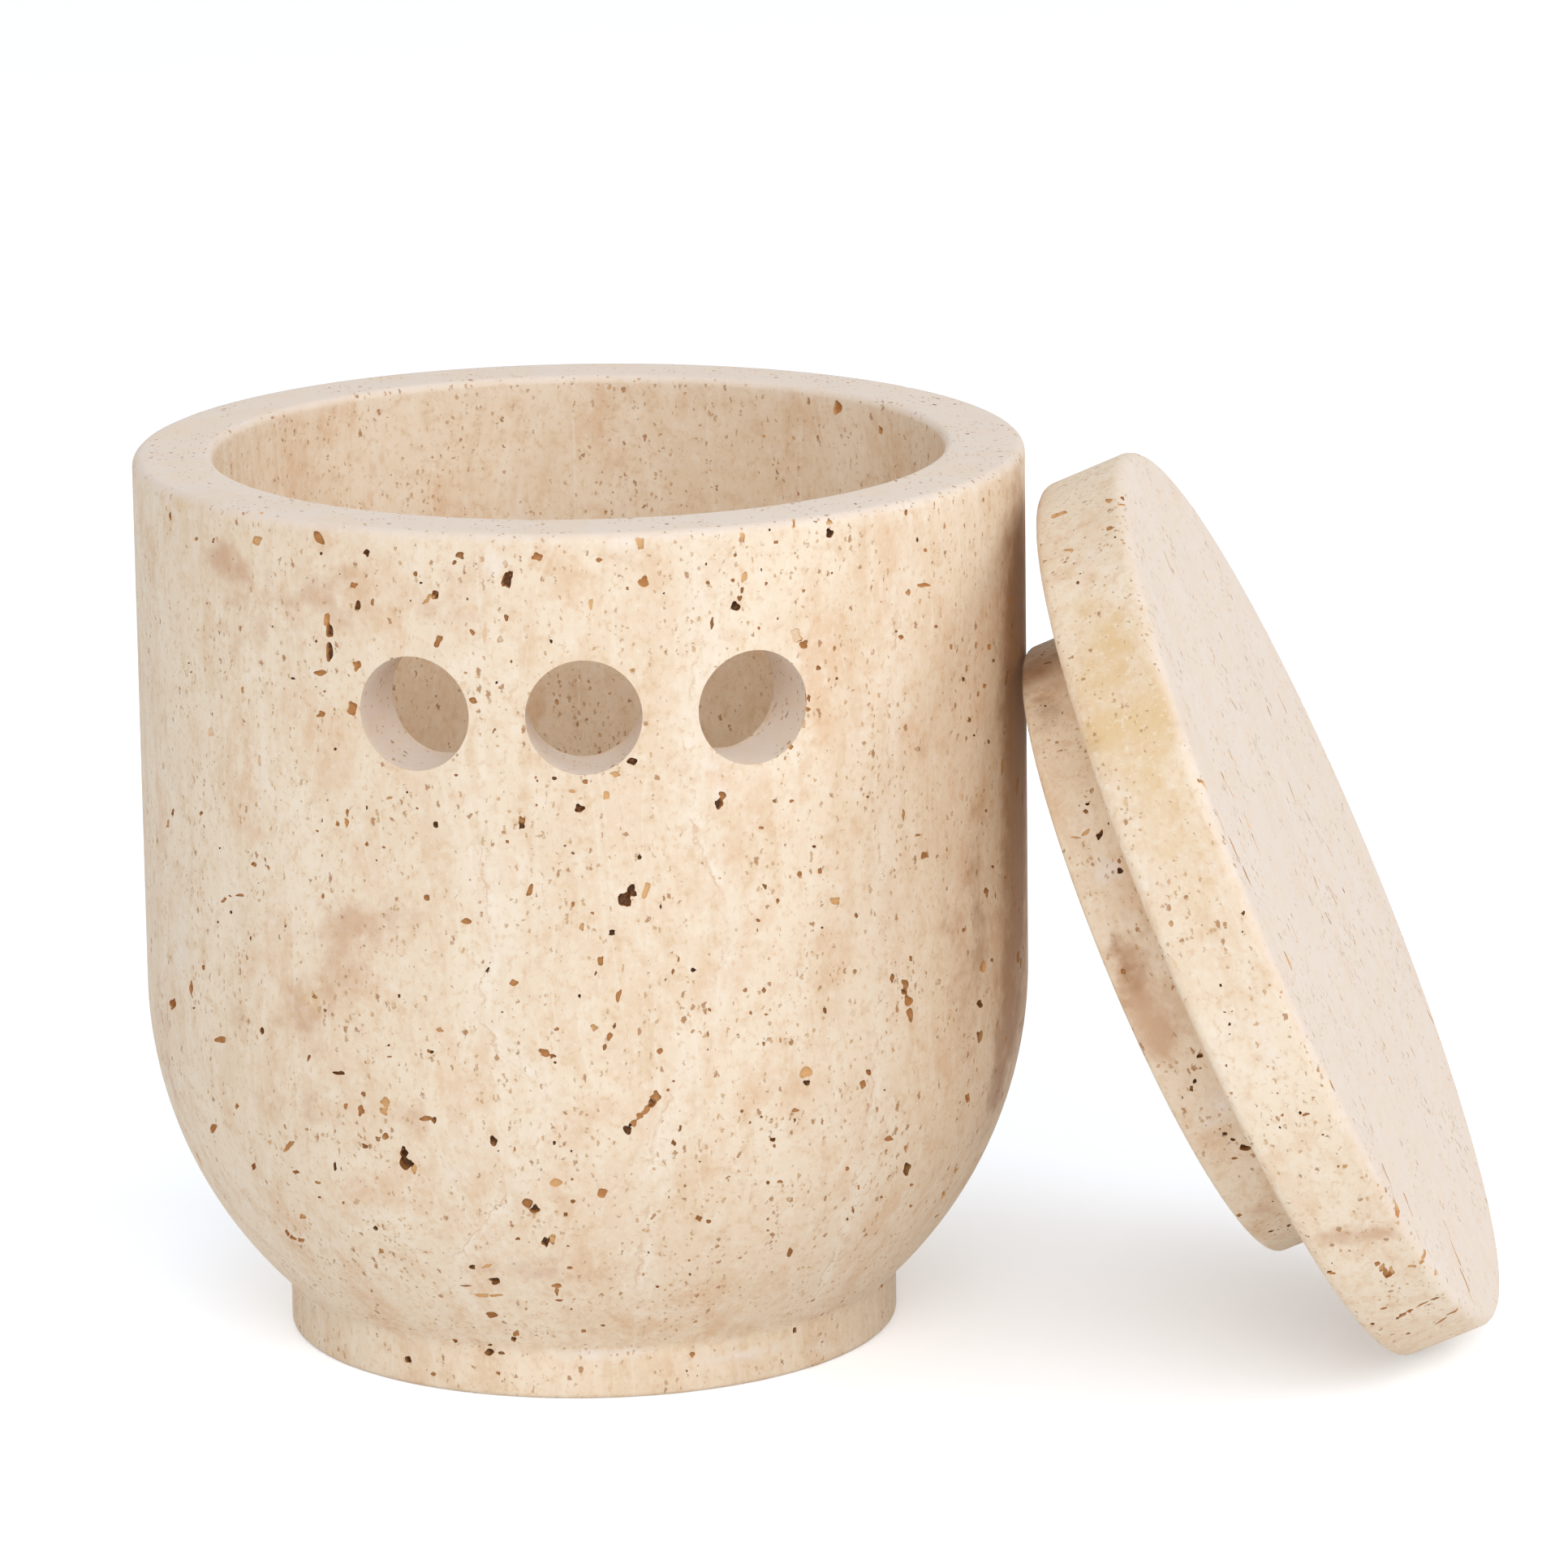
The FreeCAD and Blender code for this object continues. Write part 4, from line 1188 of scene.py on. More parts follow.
# Holes of the lid that the photograph shows, in the same way
LID_HOLES = [
    (1305, 634, 24, 6, OCHRE, -20), (1366, 617, 8, 5, OCHRE, 0), (1383, 614, 6, 5, BROWN, 30),
    (1382, 622, 10, 3, OCHRE, 0), (1367, 651, 9, 5, BROWN, -20), (1374, 662, 3, 3, DARK, 0),
    (1317, 678, 14, 3, OCHRE, 0), (1328, 718, 5, 4, DARK, 0), (1331, 707, 4, 2, BROWN, 0),
    (1299, 727, 4, 6, OCHRE, 0), (1366, 785, 4, 3, BROWN, 0), (1483, 966, 6, 20, OCHRE, -35),
    (1387, 988, 7, 12, FAINT, 0), (1405, 960, 6, 20, FAINT, -40), (1467, 1048, 12, 4, BROWN, 0),
    (1504, 1114, 4, 5, BROWN, 0), (1532, 1125, 5, 6, DARK, 0), (1495, 1138, 7, 10, BROWN, 0),
    (1508, 1139, 10, 3, BROWN, -30), (1481, 1140, 3, 3, DARK, 0), (1443, 1138, 8, 9, OCHRE, 0),
    (1531, 1148, 3, 3, DARK, 0), (1468, 1218, 8, 5, OCHRE, 30), (1504, 1214, 5, 5, DARK, 0),
    (1508, 1219, 6, 6, OCHRE, 0), (1578, 1223, 5, 4, OCHRE, 0), (1509, 1247, 9, 3, DARK, 20),
    (1518, 1246, 7, 3, DARK, -20), (1515, 1262, 4, 4, DARK, 0), (1515, 1274, 4, 3, DARK, 0),
    (1526, 1186, 5, 4, OCHRE, 0), (1564, 1214, 4, 5, OCHRE, 0), (1580, 1303, 8, 3, BROWN, -15),
    (1511, 1313, 4, 5, BROWN, 0), (1602, 1371, 6, 6, DARK, 0), (1609, 1373, 11, 5, BROWN, -20),
    (1580, 1374, 4, 4, BROWN, 0), (1577, 1389, 4, 5, DARK, -20), (1562, 1386, 3, 2, DARK, 0),
    (1567, 1395, 7, 4, OCHRE, 0), (1517, 1347, 4, 3, BROWN, 0), (1574, 1347, 4, 3, BROWN, 0),
    (1630, 1398, 4, 3, DARK, 0), (1647, 1421, 5, 5, BROWN, -30), (1657, 1437, 7, 5, OCHRE, 0),
    (1649, 1437, 4, 4, BROWN, 0), (1669, 1471, 6, 3, BROWN, 0), (1684, 1467, 6, 3, BROWN, -45),
    (1643, 1456, 5, 2, DARK, 0), (1638, 1567, 7, 5, DARK, 0), (1642, 1569, 8, 4, BROWN, 0),
    (1641, 1556, 5, 7, OCHRE, 0), (1697, 1557, 8, 6, BROWN, 20), (1703, 1562, 9, 9, OCHRE, -30),
    (1708, 1569, 10, 14, BROWN, -20), (1714, 1567, 8, 12, OCHRE, 0), (1755, 1545, 5, 12, OCHRE, 10),
    (1751, 1555, 8, 6, OCHRE, -40), (1740, 1560, 12, 4, OCHRE, 0), (1722, 1624, 5, 4, DARK, 0),
    (1728, 1620, 10, 5, BROWN, -25), (1737, 1615, 8, 5, BROWN, -20), (1752, 1607, 14, 3, BROWN, -28),
    (1768, 1600, 14, 3, BROWN, -22), (1705, 1612, 10, 3, BROWN, -10), (1776, 1627, 15, 3, BROWN, -38),
    (1790, 1617, 16, 3, BROWN, -25), (1798, 1628, 9, 4, FAINT, -20), (1691, 1631, 7, 4, BROWN, 10),
    (1735, 1643, 7, 3, BROWN, -10), (1769, 1568, 5, 9, OCHRE, 0), (1330, 993, 5, 7, BROWN, 0),
    (1340, 991, 6, 5, DARK, 0), (1338, 1000, 9, 8, BROWN, 0), (1326, 1032, 14, 4, OCHRE, 0),
    (1338, 1026, 12, 6, OCHRE, -40), (1355, 1029, 7, 11, DARK, 25), (1366, 1015, 4, 6, DARK, -20),
    (1380, 1073, 9, 9, DARK, 0), (1379, 1061, 5, 8, BROWN, 0), (1472, 1332, 6, 8, DARK, 20),
    (1468, 1341, 9, 12, BROWN, 0), (1457, 1352, 4, 7, DARK, 0), (1478, 1301, 8, 7, DARK, 0),
    (1479, 1316, 5, 3, BROWN, 0), (1509, 1397, 8, 5, DARK, 0), (1519, 1404, 7, 5, DARK, 20),
    (1503, 1391, 4, 3, BROWN, 0), (1534, 1414, 15, 8, DARK, 10), (1521, 1427, 9, 4, BROWN, 0),
    (1530, 1431, 6, 3, BROWN, 0), (1500, 1431, 3, 3, DARK, 0), (1527, 1497, 7, 5, BROWN, 0),
    (1588, 1510, 5, 4, DARK, 0), (1566, 1517, 9, 3, BROWN, -20), (1568, 1480, 5, 3, BROWN, 0),
    (1475, 1421, 8, 3, OCHRE, 0), (1284, 807, 5, 3, DARK, -20), (1291, 817, 12, 2, DARK, -12),
    (1288, 870, 4, 3, DARK, 0), (1323, 963, 5, 3, BROWN, 0), (1307, 896, 3, 3, BROWN, 0),
    (1384, 1197, 7, 10, BROWN, 0), (1389, 1215, 4, 18, OCHRE, -15), (1438, 1254, 10, 9, FAINT, 0),
    (1444, 1313, 10, 12, FAINT, 0), (1485, 710, 4, 20, OCHRE, -25), (1450, 700, 3, 7, FAINT, 0),
    (1510, 826, 3, 10, OCHRE, -25), (1516, 930, 3, 14, BROWN, -25), (1507, 958, 4, 16, OCHRE, -25),
    (1517, 977, 4, 20, OCHRE, -28), (1537, 1014, 5, 20, OCHRE, -24), (1547, 1040, 3, 26, OCHRE, -24),
    (1587, 1184, 5, 24, BROWN, -25), (1502, 1008, 2, 24, BROWN, -25), (1520, 1045, 3, 46, BROWN, -24),
    (1535, 1077, 4, 24, BROWN, -22), (1585, 1118, 3, 24, FAINT, -20), (1595, 1150, 3, 24, OCHRE, -25),
    (1713, 1330, 4, 15, OCHRE, -20), (1641, 1338, 3, 18, BROWN, -25), (1680, 1364, 3, 12, OCHRE, -25),
    (1721, 1488, 5, 26, BROWN, -16), (1732, 1477, 3, 22, BROWN, -18), (1738, 1493, 4, 16, OCHRE, -20),
    (1707, 1445, 3, 30, BROWN, -25), (1782, 1512, 3, 28, OCHRE, -25), (1795, 1548, 3, 30, BROWN, -20),
    (1805, 1578, 4, 28, BROWN, -22), (1812, 1598, 3, 18, OCHRE, -30), (1745, 1518, 3, 22, OCHRE, -20),
    (1755, 1405, 3, 16, FAINT, -20),
]

# Patches of other colours: the pixel in the middle, and the reach sideways and upright in millimetres
JAR_PATCHES = {
    "stain": [
        Patch(272, 692, 5, 3.5, 0.5), Patch(300, 760, 9, 9, 0.35), Patch(400, 730, 8, 7, 0.38),
        Patch(560, 745, 9, 6, 0.3), Patch(770, 700, 8, 5, 0.25), Patch(420, 1190, 8, 8, 0.42),
        Patch(365, 1250, 6, 5, 0.42), Patch(455, 1130, 8, 4, 0.36), Patch(290, 1240, 4, 5, 0.32),
        Patch(370, 1365, 9, 6, 0.35), Patch(500, 1385, 6, 4, 0.3), Patch(640, 1560, 10, 4, 0.25),
        Patch(1185, 1180, 5, 22, 0.4), Patch(1140, 930, 3, 3, 0.3), Patch(205, 1300, 5, 12, 0.35),
        Patch(720, 1575, 16, 2.5, 0.22), Patch(190, 900, 3, 20, 0.25),
    ],
    "gold": [
        Patch(228, 612, 3.5, 2.2, 0.75), Patch(255, 618, 2.5, 1.5, 0.6), Patch(385, 1230, 2.6, 2.6, 0.5),
        Patch(385, 1645, 5, 1.6, 0.5), Patch(475, 1360, 2, 2, 0.4), Patch(890, 1592, 2, 2, 0.35),
        Patch(700, 675, 14, 2, 0.3), Patch(450, 665, 12, 2, 0.25), Patch(420, 870, 5, 5, 0.3),
    ],
    # Brown: a thin mineral band, and painted shade down the jar's right side where the lid shelters it
    "band_and_painted_shade": [
        Patch(1165, 1090, 1.8, 11, 0.35), Patch(1254, 790, 9, 27, 1.0), Patch(1254, 1100, 9, 29, 0.75),
        Patch(1235, 1300, 5, 16, 0.6), Patch(1200, 1000, 2.5, 24, 0.25), Patch(1205, 1150, 3, 10, 0.4),
    ],
    "chalk": [
        Patch(735, 1668, 9, 1.1, 0.55), Patch(910, 1674, 8, 1.3, 0.6), Patch(1010, 1655, 4, 1.0, 0.5),
        Patch(640, 638, 3, 2.0, 0.4), Patch(770, 668, 4, 1.6, 0.4), Patch(225, 1150, 3, 9, 0.35),
        Patch(330, 1130, 9, 1.6, 0.3), Patch(885, 900, 3, 18, 0.35), Patch(610, 690, 2, 2.4, 0.45),
        Patch(640, 1560, 4, 9, 0.25), Patch(560, 1420, 3, 10, 0.3), Patch(1050, 900, 4, 20, 0.25),
    ],
}

LID_PATCHES = {
    "stain": [
        Patch(1395, 1185, 3.5, 8, 0.55), Patch(1430, 1270, 5, 6, 0.55), Patch(1560, 1485, 5, 6, 0.35),
        Patch(1650, 1523, 7, 2.0, 0.42), Patch(1712, 1519, 4, 1.6, 0.36), Patch(1300, 850, 4, 9, 0.4),
    ],
    "gold": [
        Patch(1405, 950, 8, 11, 0.32), Patch(1450, 1010, 6, 7, 0.22), Patch(1370, 800, 7, 10, 0.55),
        Patch(1430, 880, 6, 6, 0.45), Patch(1350, 900, 4, 5, 0.5), Patch(1304, 634, 2, 1, 0.5),
        Patch(1330, 745, 5, 4, 0.35), Patch(1470, 1080, 5, 5, 0.25),
    ],
    # Brown: small mineral marks, and painted shade on the top of the plug beside the jar
    "band_and_painted_shade": [
        Patch(1343, 893, 2, 1.6, 0.4), Patch(1352, 922, 1.8, 2, 0.4), Patch(1450, 894, 2.2, 1.2, 0.4),
        Patch(1376, 1155, 1.4, 4, 0.5), Patch(1388, 1212, 1.0, 4, 0.45), Patch(1278, 825, 6, 6, 0.8),
        Patch(1290, 880, 4, 6, 0.5), Patch(1400, 1190, 3, 6, 0.35),
    ],
    "chalk": [
        Patch(1360, 1075, 2.5, 4, 0.5), Patch(1410, 1085, 4, 2.5, 0.4), Patch(1500, 1370, 3, 4, 0.4),
        Patch(1560, 1290, 5, 8, 0.25), Patch(1350, 690, 6, 4, 0.3), Patch(1330, 1010, 2, 3, 0.4),
    ],
}

# Whitish veins that run up the jar: the pixels that each passes through, from the top down
JAR_VEINS = {
    "vein_right": [
        (1121, 630), (1118, 720), (1108, 765), (1101, 860), (1099, 930), (1091, 1010), (1086, 1100),
        (1094, 1160), (1090, 1210), (1085, 1300), (1070, 1400), (1045, 1500), (1018, 1575),
    ],
    "vein_middle": [
        (846, 665), (862, 720), (868, 800), (852, 880), (846, 960), (868, 1040), (905, 1120),
        (893, 1200), (850, 1290), (815, 1400), (800, 1500), (790, 1600),
    ],
    "vein_left": [
        (600, 1060), (610, 1130), (612, 1180), (596, 1250), (625, 1300), (682, 1345), (665, 1430),
        (610, 1500), (560, 1560),
    ],
}


@dataclass
class Jar:
    """The turned jar: foot, bowl, straight wall, rim, hollow and vents, in millimetres."""

    diameter: float
    height: float
    mouth_radius: float
    bowl_arc_radius: float = 61.0
    bowl_arc_top: float = 52.0
    foot_radius: float = 44.0
    foot_round: float = 0.8
    neck_round: float = 2.2
    rim_outer_round: float = 1.5
    rim_inner_round: float = 1.2
    floor_thickness: float = 14.0
    floor_round: float = 6.0
    vent_radius: float = 8.0
    vent_height: float = 103.0
    vent_count: int = 3
    vent_pitch_deg: float = 21.5
    vent_sides: int = 64
    vent_rings: int = 12
    corner_room: float = 1.3
    hollow_coarseness: float = 1.4
    bore_band: float = 1.5
    rim_fade: float = 1.0
    turns: int = 240
    step: float = 1.7

    @classmethod
    def from_frame(cls) -> "Jar":
        """Take the jar's width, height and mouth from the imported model."""
        low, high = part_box("jar")
        mouth = next(mount for mount in frame["record"]["mounts"] if mount["name"] == "mouth")
        return cls((high.x - low.x) / MM, (high.z - low.z) / MM, mouth["dims"]["r_mm"])

    def outline(self) -> np.ndarray:
        """Walk the outline from the middle of the foot, up the outside, over the rim and down the inside.

        An arc stops short of a rounded corner by corner_room times the corner's radius.

        Returns:
            One row of distance and height for each point.
        """
        outer = self.diameter / 2
        inset = outer - self.bowl_arc_radius
        neck_angle = -math.acos((self.foot_radius - inset) / self.bowl_arc_radius)
        neck = np.array([self.foot_radius, self.bowl_arc_top + self.bowl_arc_radius * math.sin(neck_angle)])
        past_neck = neck_angle + self.corner_room * self.neck_round / self.bowl_arc_radius
        bowl = arc_points((inset, self.bowl_arc_top), self.bowl_arc_radius, past_neck, 0, self.step)
        floor_angle = -math.asin((self.bowl_arc_top - self.floor_thickness) / self.mouth_radius)
        corner = np.array([self.mouth_radius * math.cos(floor_angle), self.floor_thickness])
        past_corner = floor_angle + self.corner_room * self.floor_round / self.mouth_radius
        coarse = self.step * self.hollow_coarseness
        hollow = arc_points((0, self.bowl_arc_top), self.mouth_radius, 0, past_corner, coarse)
        foot_edge = np.array([self.foot_radius, 0.0])
        rim_outer = np.array([outer, self.height])
        rim_inner = np.array([self.mouth_radius, self.height])
        bottom = np.array([0.0, 0.0])
        floor_middle = np.array([0.0, self.floor_thickness])
        runs = [bottom]
        runs.extend(round_corner(bottom, foot_edge, neck, self.foot_round, 4))
        runs.extend(round_corner(foot_edge, neck, bowl[0], self.neck_round, 5))
        runs.extend(bowl)
        runs.extend(round_corner(bowl[-1], rim_outer, rim_inner, self.rim_outer_round, 6))
        runs.extend(round_corner(rim_outer, rim_inner, hollow[0], self.rim_inner_round, 6))
        runs.extend(hollow)
        runs.extend(round_corner(hollow[-1], corner, floor_middle, self.floor_round, 6))
        runs.append(floor_middle)
        return spaced(runs, self.step)

    def vent_axes(self) -> list[np.ndarray]:
        """Give the outward direction of each vent."""
        first = -(self.vent_count - 1) / 2
        turns = [math.radians((first + k) * self.vent_pitch_deg) for k in range(self.vent_count)]
        return [np.array([math.sin(turn), -math.cos(turn), 0.0]) for turn in turns]

    def vent_drill(self, axis: np.ndarray) -> tuple[np.ndarray, list[list[int]]]:
        """Make the drill of one vent: a circle of the vent's radius carried out along the vent's axis.

        It starts 6 mm inside the hollow and ends 3 mm outside the wall.

        Args:
            axis: The vent's outward direction.

        Returns:
            The drill's vertices and faces.
        """
        around = np.linspace(0, 2 * math.pi, self.vent_sides, endpoint=False)[:, None]
        level = np.cross(UP, axis)
        ring = self.vent_radius * (np.cos(around) * level + np.sin(around) * UP)
        middle = UP * self.vent_height
        reach = np.linspace(self.mouth_radius - 6, self.diameter / 2 + 3, self.vent_rings)
        rows = [middle + axis * out + ring for out in reach]
        vertices = np.vstack(rows + [middle + axis * reach[0], middle + axis * reach[-1]])
        return vertices, tube_faces(self.vent_rings, self.vent_sides)

    def vent_depth(self, points: np.ndarray) -> tuple[np.ndarray, np.ndarray]:
        """Measure how far points lie from the nearest vent's bore, and which lie close to one.

        Args:
            points: The jar's vertices.

        Returns:
            The distance from the wall of the nearest bore, and whether it is within the band about a bore.
        """
        best = np.full(len(points), np.inf)
        within = np.hypot(points[:, 0], points[:, 1]) > self.mouth_radius - 0.5
        for axis in self.vent_axes():
            away = points - [0, 0, self.vent_height]
            ahead = away @ axis
            off = np.linalg.norm(away - ahead[:, None] * axis, axis=1) - self.vent_radius
            best = np.where((ahead > 0) & within, np.minimum(best, np.abs(off)), best)
        return best, best < self.bore_band

    def build(self) -> bpy.types.Object:
        """Build and dress the jar.

        Returns:
            The finished piece.
        """
        form = TurnedForm(self.outline(), self.turns)
        piece = make_object("turned_jar", *form.mesh())
        for axis in self.vent_axes():
            cut(piece, *self.vent_drill(axis))
        seen = SeenHoles(form, Matrix.Identity(4))
        holes = seen.holes(JAR_HOLES, 1000)
        holes += self.unseen_holes(form)
        cut_holes(piece, holes)
        points = vertex_array(piece)
        depth, _, along = form.nearest(points)
        vent, near_vent = self.vent_depth(points)
        mark_holes(piece, np.minimum(depth, vent), points, holes)
        bore = near_vent & (depth > 2 * SKIN) & (vent < 4 * SKIN)
        rim = np.exp(-(np.maximum(self.height - points[:, 2], 0) / self.rim_fade) ** 2)
        mark(piece, "cut_face", np.maximum(rim * 0.85, bore * 0.8))
        for name, patches in JAR_PATCHES.items():
            mark(piece, name, patch_field(points, seen, patches))
        for name, pixels in JAR_VEINS.items():
            mark(piece, name, vein_field(points, seen, pixels))
        finish_mesh(piece)
        piece.data.materials.clear()
        stone = Travertine("honed_travertine_of_the_jar", Matrix.Identity(4), tuple(JAR_VEINS))
        piece.data.materials.append(stone.build())
        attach(piece, "jar")
        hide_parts("jar")
        log.info("jar: %d holes, %d faces", len(holes), len(piece.data.polygons))
        return piece

    def unseen_holes(self, form: TurnedForm) -> list[Hole]:
        """Strew holes over the back, the rim and the inside, but not where the photograph shows the wall."""
        outside = self.foot_radius + 3
        wall_end = float(form.nearest(np.array([[self.diameter / 2, 0, self.height - 2]]))[2][0])
        rim_end = float(form.nearest(np.array([[self.mouth_radius, 0, self.height - 2]]))[2][0])
        floor_end = float(form.nearest(np.array([[self.mouth_radius, 0, self.bowl_arc_top]]))[2][0])
        back = Scatter(
            form, outside, wall_end, -0.12 * math.pi, 1.12 * math.pi,
            per_square_cm=2.6, smallest=0.5, largest=3.2, taller=2.2, seed=11,
        )
        rim = Scatter(
            form, wall_end + 2, rim_end - 2, 0, 2 * math.pi,
            per_square_cm=1.6, smallest=0.35, largest=1.3, taller=1.0, seed=12,
        )
        inside = Scatter(
            form, rim_end, floor_end, 0, 2 * math.pi,
            per_square_cm=1.5, smallest=0.6, largest=2.6, taller=2.0, seed=13,
        )
        return back.holes() + rim.holes() + inside.holes()


@dataclass
class Lid:
    """The turned lid: a broad disc with a plug below it, leaning beside the jar, in millimetres."""

    radius: float = 67.0
    thickness: float = 13.8
    plug_radius: float = 46.6
    plug_height: float = 11.3
    top_round: float = 1.8
    under_round: float = 1.4
    plug_end_round: float = 1.0
    plug_root_round: float = 0.8
    azimuth_deg: float = -7.7
    axis_rise_deg: float = 23.7
    out: float = 105.2
    aside: float = -4.0
    bed_turn_deg: float = 90.0
    face_fade: float = 1.0
    turns: int = 240
    step: float = 1.7

    def outline(self) -> np.ndarray:
        """Walk the outline from the middle of the plug's end to the middle of the outer face."""
        under = -self.thickness
        end = under - self.plug_height
        points = [
            ((0, end), 0),
            ((self.plug_radius, end), self.plug_end_round),
            ((self.plug_radius, under), self.plug_root_round),
            ((self.radius, under), self.under_round),
            ((self.radius, 0), self.top_round),
            ((0, 0), 0),
        ]
        places = [np.array(place, float) for place, _ in points]
        runs = [places[0]]
        for k in range(1, len(points) - 1):
            runs.extend(round_corner(places[k - 1], places[k], places[k + 1], points[k][1], 6))
        runs.append(places[-1])
        return spaced(runs, self.step)

    def lean(self) -> Matrix:
        """Turn the lid's axis to its lean and set its lower edge down on the floor."""
        azimuth = math.radians(self.azimuth_deg)
        rise = math.radians(self.axis_rise_deg)
        outward = np.array([math.cos(azimuth), math.sin(azimuth), 0])
        sideways = np.array([-math.sin(azimuth), math.cos(azimuth), 0])
        axis = outward * math.cos(rise) + UP * math.sin(rise)
        raised = (self.thickness - self.under_round) * math.sin(rise)
        raised += (self.radius - self.under_round) * math.cos(rise) + self.under_round
        centre = outward * self.out + sideways * self.aside + UP * raised
        level = np.cross(UP, axis)
        level /= np.linalg.norm(level)
        return axes_matrix(level, np.cross(axis, level), axis, centre)

    def build(self) -> bpy.types.Object:
        """Build and dress the lid.

        Returns:
            The finished piece.
        """
        form = TurnedForm(self.outline(), self.turns)
        placed = self.lean()
        piece = make_object("turned_lid", *form.mesh())
        seen = SeenHoles(form, placed)
        holes = seen.holes(LID_HOLES, 5000)
        holes += self.unseen_holes(form)
        cut_holes(piece, holes)
        points = vertex_array(piece)
        depth, _, _ = form.nearest(points)
        mark_holes(piece, depth, points, holes)
        face = np.exp(-(points[:, 2] / self.face_fade) ** 2)
        mark(piece, "cut_face", face * 0.75)
        for name, patches in LID_PATCHES.items():
            mark(piece, name, patch_field(points, seen, patches))
        matrix = np.array(placed)
        world = (points @ matrix[:3, :3].T + matrix[:3, 3]) * MM
        piece.data.vertices.foreach_set("co", world.astype(np.float32).ravel())
        piece.data.update()
        finish_mesh(piece)
        piece.data.materials.clear()
        stone = Travertine("honed_travertine_of_the_lid", self.bedding(placed))
        piece.data.materials.append(stone.build())
        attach(piece, "lid")
        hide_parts("lid")
        log.info("lid: %d holes, %d faces", len(holes), len(piece.data.polygons))
        return piece

    def bedding(self, placed: Matrix) -> Matrix:
        """Turn the stone's coordinates so that its beds run down the long way of the leaning face."""
        turn = Matrix.Rotation(math.radians(self.bed_turn_deg), 3, "X")
        return (placed.to_3x3() @ turn).inverted().to_4x4()

    def unseen_holes(self, form: TurnedForm) -> list[Hole]:
        """Strew holes over the outer face, the far side of the edge, and the plug's end."""
        plug_end = float(form.nearest(np.array([[self.plug_radius - 2, 0, -99.0]]))[2][0])
        side_start = float(form.nearest(np.array([[self.radius + 1, 0, 2 - self.thickness]]))[2][0])
        side_end = float(form.nearest(np.array([[self.radius + 1, 0, -2.0]]))[2][0])
        face_end = side_end + self.radius + 1
        pale = (0.0, 0.08, 0.4, 0.52)
        outer = Scatter(
            form, side_end + 3, face_end, 0, 2 * math.pi,
            per_square_cm=1.6, smallest=0.35, largest=1.1, taller=5.0, seed=21, tone_shares=pale,
        )
        edge = Scatter(
            form, side_start, side_end, 0, 2 * math.pi,
            per_square_cm=1.6, smallest=0.4, largest=1.8, taller=1.5, seed=22,
        )
        end = Scatter(
            form, 3, plug_end, 0, 2 * math.pi,
            per_square_cm=1.8, smallest=0.4, largest=2.2, taller=3.0, seed=23,
        )
        return outer.holes() + edge.holes() + end.holes()


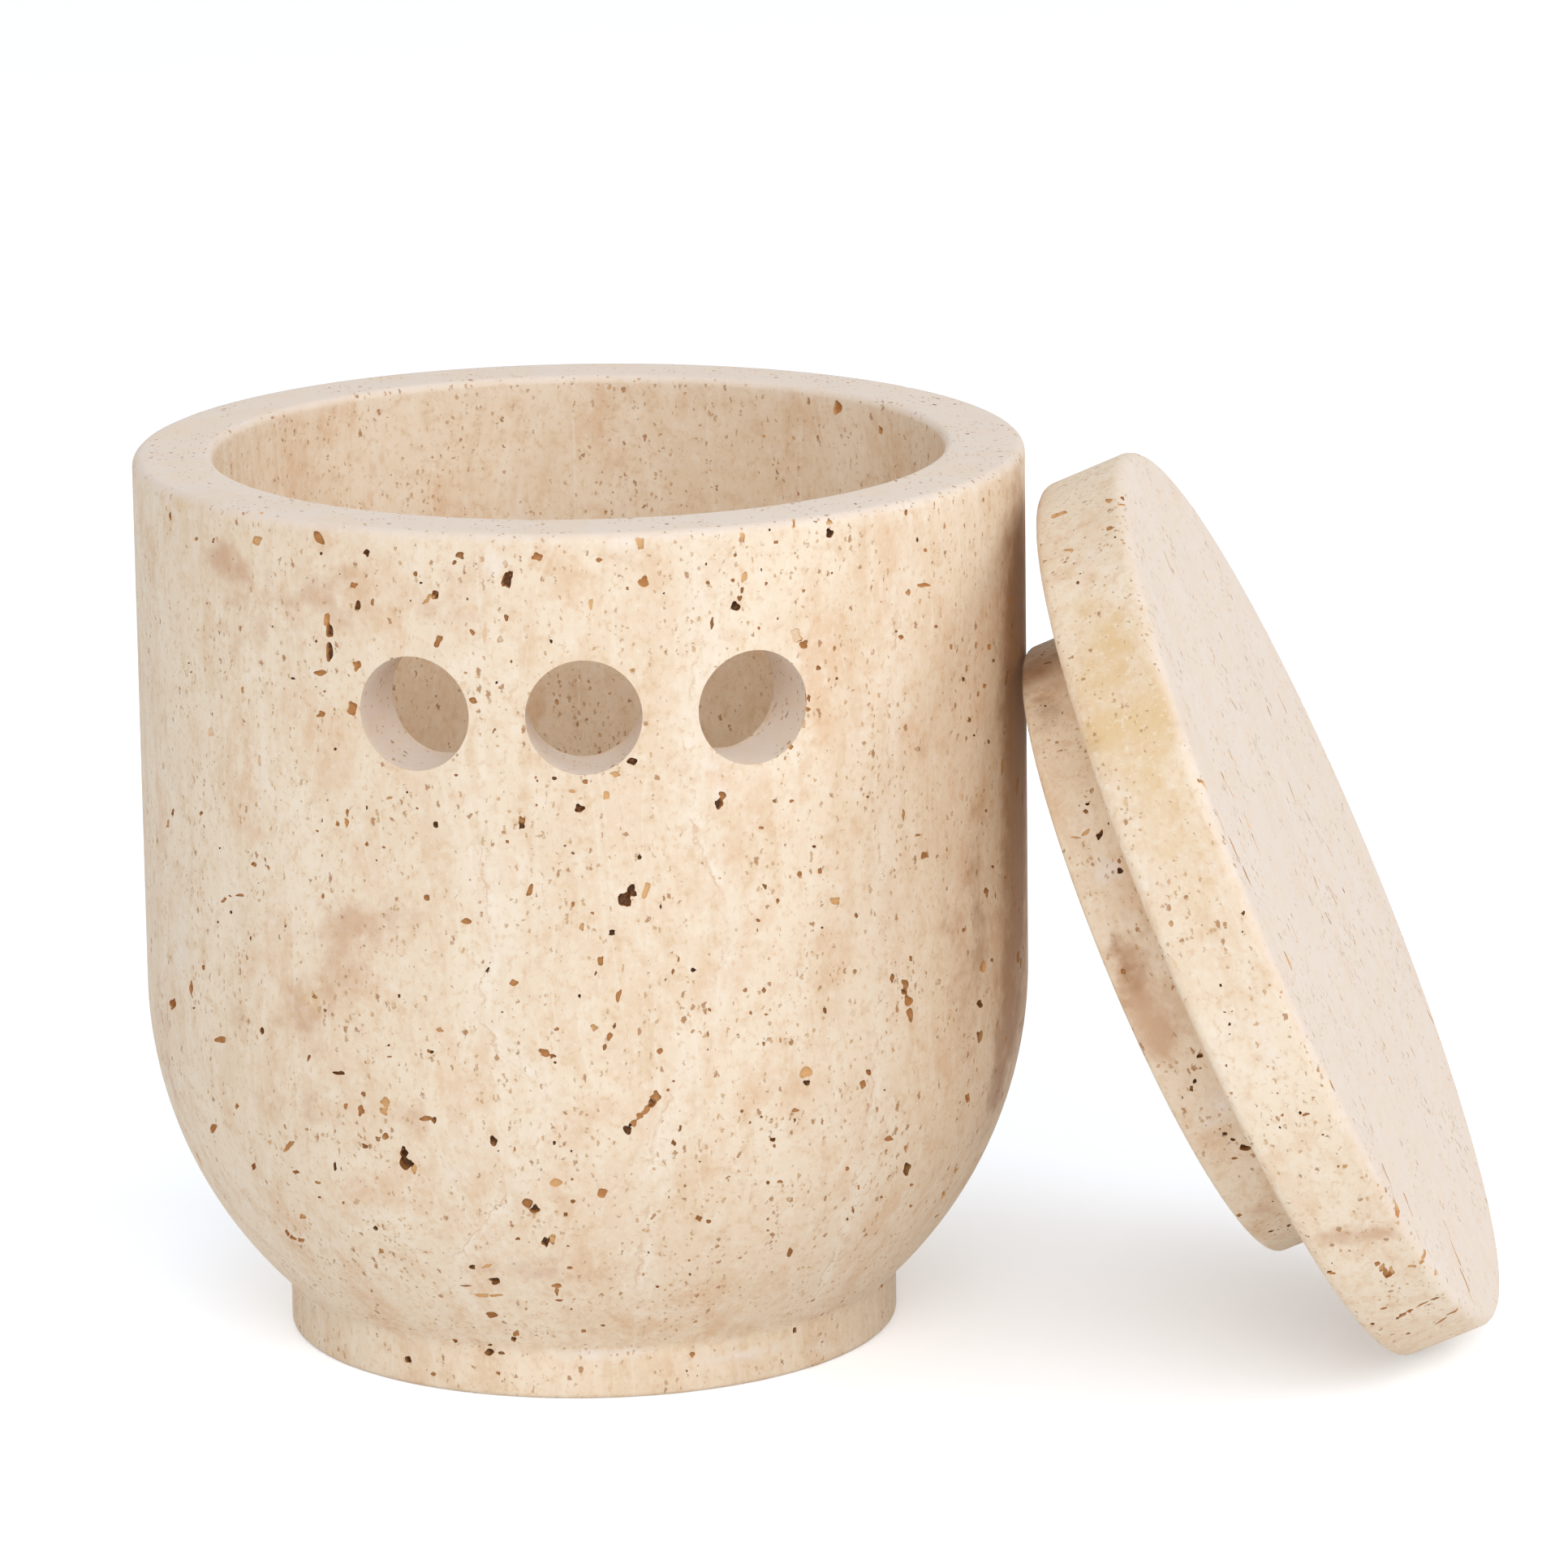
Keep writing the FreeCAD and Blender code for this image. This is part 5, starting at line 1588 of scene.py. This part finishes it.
@dataclass(frozen=True)
class Studio:
    """The plain white room: a pale floor, a soft key from the front, a fill from the right, and an even sky.

    Places and sizes are in metres, and energies in watts.
    """

    floor_half_side: float = 4.0
    floor_seen: tuple[float, float, float] = (1.46, 1.56, 1.7)
    floor_glow: float = 0.22
    floor_true: float = 0.9
    key_energy: float = 14.5
    key_place: tuple[float, float, float] = (0.2, -1.65, 1.05)
    key_size: float = 1.3
    fill_energy: float = 5.5
    fill_place: tuple[float, float, float] = (1.45, -0.35, 0.95)
    fill_size: float = 0.9
    aim: tuple[float, float, float] = (0.03, 0.0, 0.06)
    sky: float = 0.6

    def camera_share(self, tree: Tree) -> Socket:
        """Tell camera, glossy and transmission rays from the rest."""
        path = add_node(tree, "ShaderNodeLightPath")
        share = path.outputs["Is Camera Ray"]
        for name in ("Is Glossy Ray", "Is Transmission Ray"):
            share = maths(tree, "MAXIMUM", share, path.outputs[name])
        return share

    def floor(self) -> bpy.types.Object:
        """Lay the floor, which shows as white and keeps the object's shadow."""
        half = self.floor_half_side / MM
        corners = np.array([[-half, -half, 0], [half, -half, 0], [half, half, 0], [-half, half, 0]])
        floor = make_object("floor", corners, [(0, 1, 2, 3)])
        material = bpy.data.materials.new("matt_white_sheet")
        material.use_nodes = True
        tree = material.node_tree
        tree.nodes.clear()
        true = (self.floor_true,) * 3 + (1.0,)
        seen = self.floor_seen + (1.0,)
        share = self.camera_share(tree)
        colour = add_node(tree, "ShaderNodeMix", {0: share, 6: true, 7: seen}, data_type="RGBA")
        sheet = add_node(tree, "ShaderNodeBsdfDiffuse", {"Color": colour.outputs[2]})
        glow = add_node(tree, "ShaderNodeEmission", {"Color": (1, 1, 1, 1), "Strength": 1.0})
        both = add_node(tree, "ShaderNodeMixShader", {
            0: maths(tree, "MULTIPLY", share, self.floor_glow),
            1: sheet.outputs[0],
            2: glow.outputs[0],
        })
        add_node(tree, "ShaderNodeOutputMaterial", {"Surface": both.outputs[0]})
        floor.data.materials.append(material)
        return floor

    def lamp(self, name: str, place: Sequence[float], size: float, energy: float) -> bpy.types.Object:
        """Hang a square lamp that faces the middle of the object."""
        data = bpy.data.lights.new(name, "AREA")
        data.size = size
        data.energy = energy
        lamp = bpy.data.objects.new(name, data)
        bpy.context.scene.collection.objects.link(lamp)
        back = np.array(place) - self.aim
        back /= np.linalg.norm(back)
        side = np.cross(UP, back)
        side /= np.linalg.norm(side)
        lamp.matrix_world = axes_matrix(side, np.cross(back, side), back, place)
        return lamp

    def world(self) -> None:
        """Fill the sky: white where the camera looks, and softer for the light that it gives."""
        world = bpy.data.worlds.new("studio")
        bpy.context.scene.world = world
        world.use_nodes = True
        tree = world.node_tree
        tree.nodes.clear()
        given = add_node(tree, "ShaderNodeBackground", {"Color": (1, 1, 1, 1), "Strength": self.sky})
        seen = add_node(tree, "ShaderNodeBackground", {"Color": (1, 1, 1, 1), "Strength": 1.0})
        both = add_node(tree, "ShaderNodeMixShader", {
            0: self.camera_share(tree),
            1: given.outputs[0],
            2: seen.outputs[0],
        })
        add_node(tree, "ShaderNodeOutputWorld", {"Surface": both.outputs[0]})

    def build(self) -> None:
        """Set up the room and the plain view transform."""
        self.floor()
        self.lamp("key", self.key_place, self.key_size, self.key_energy)
        self.lamp("fill", self.fill_place, self.fill_size, self.fill_energy)
        self.world()
        bpy.context.scene.view_settings.view_transform = "Standard"


def main() -> None:
    """Build the camera, the room, the jar and the lid, in that order."""
    logging.basicConfig(level=logging.INFO, format="%(name)s %(message)s")
    CAMERA.build()
    Studio().build()
    Jar.from_frame().build()
    Lid().build()


if __name__ == "__main__":
    main()
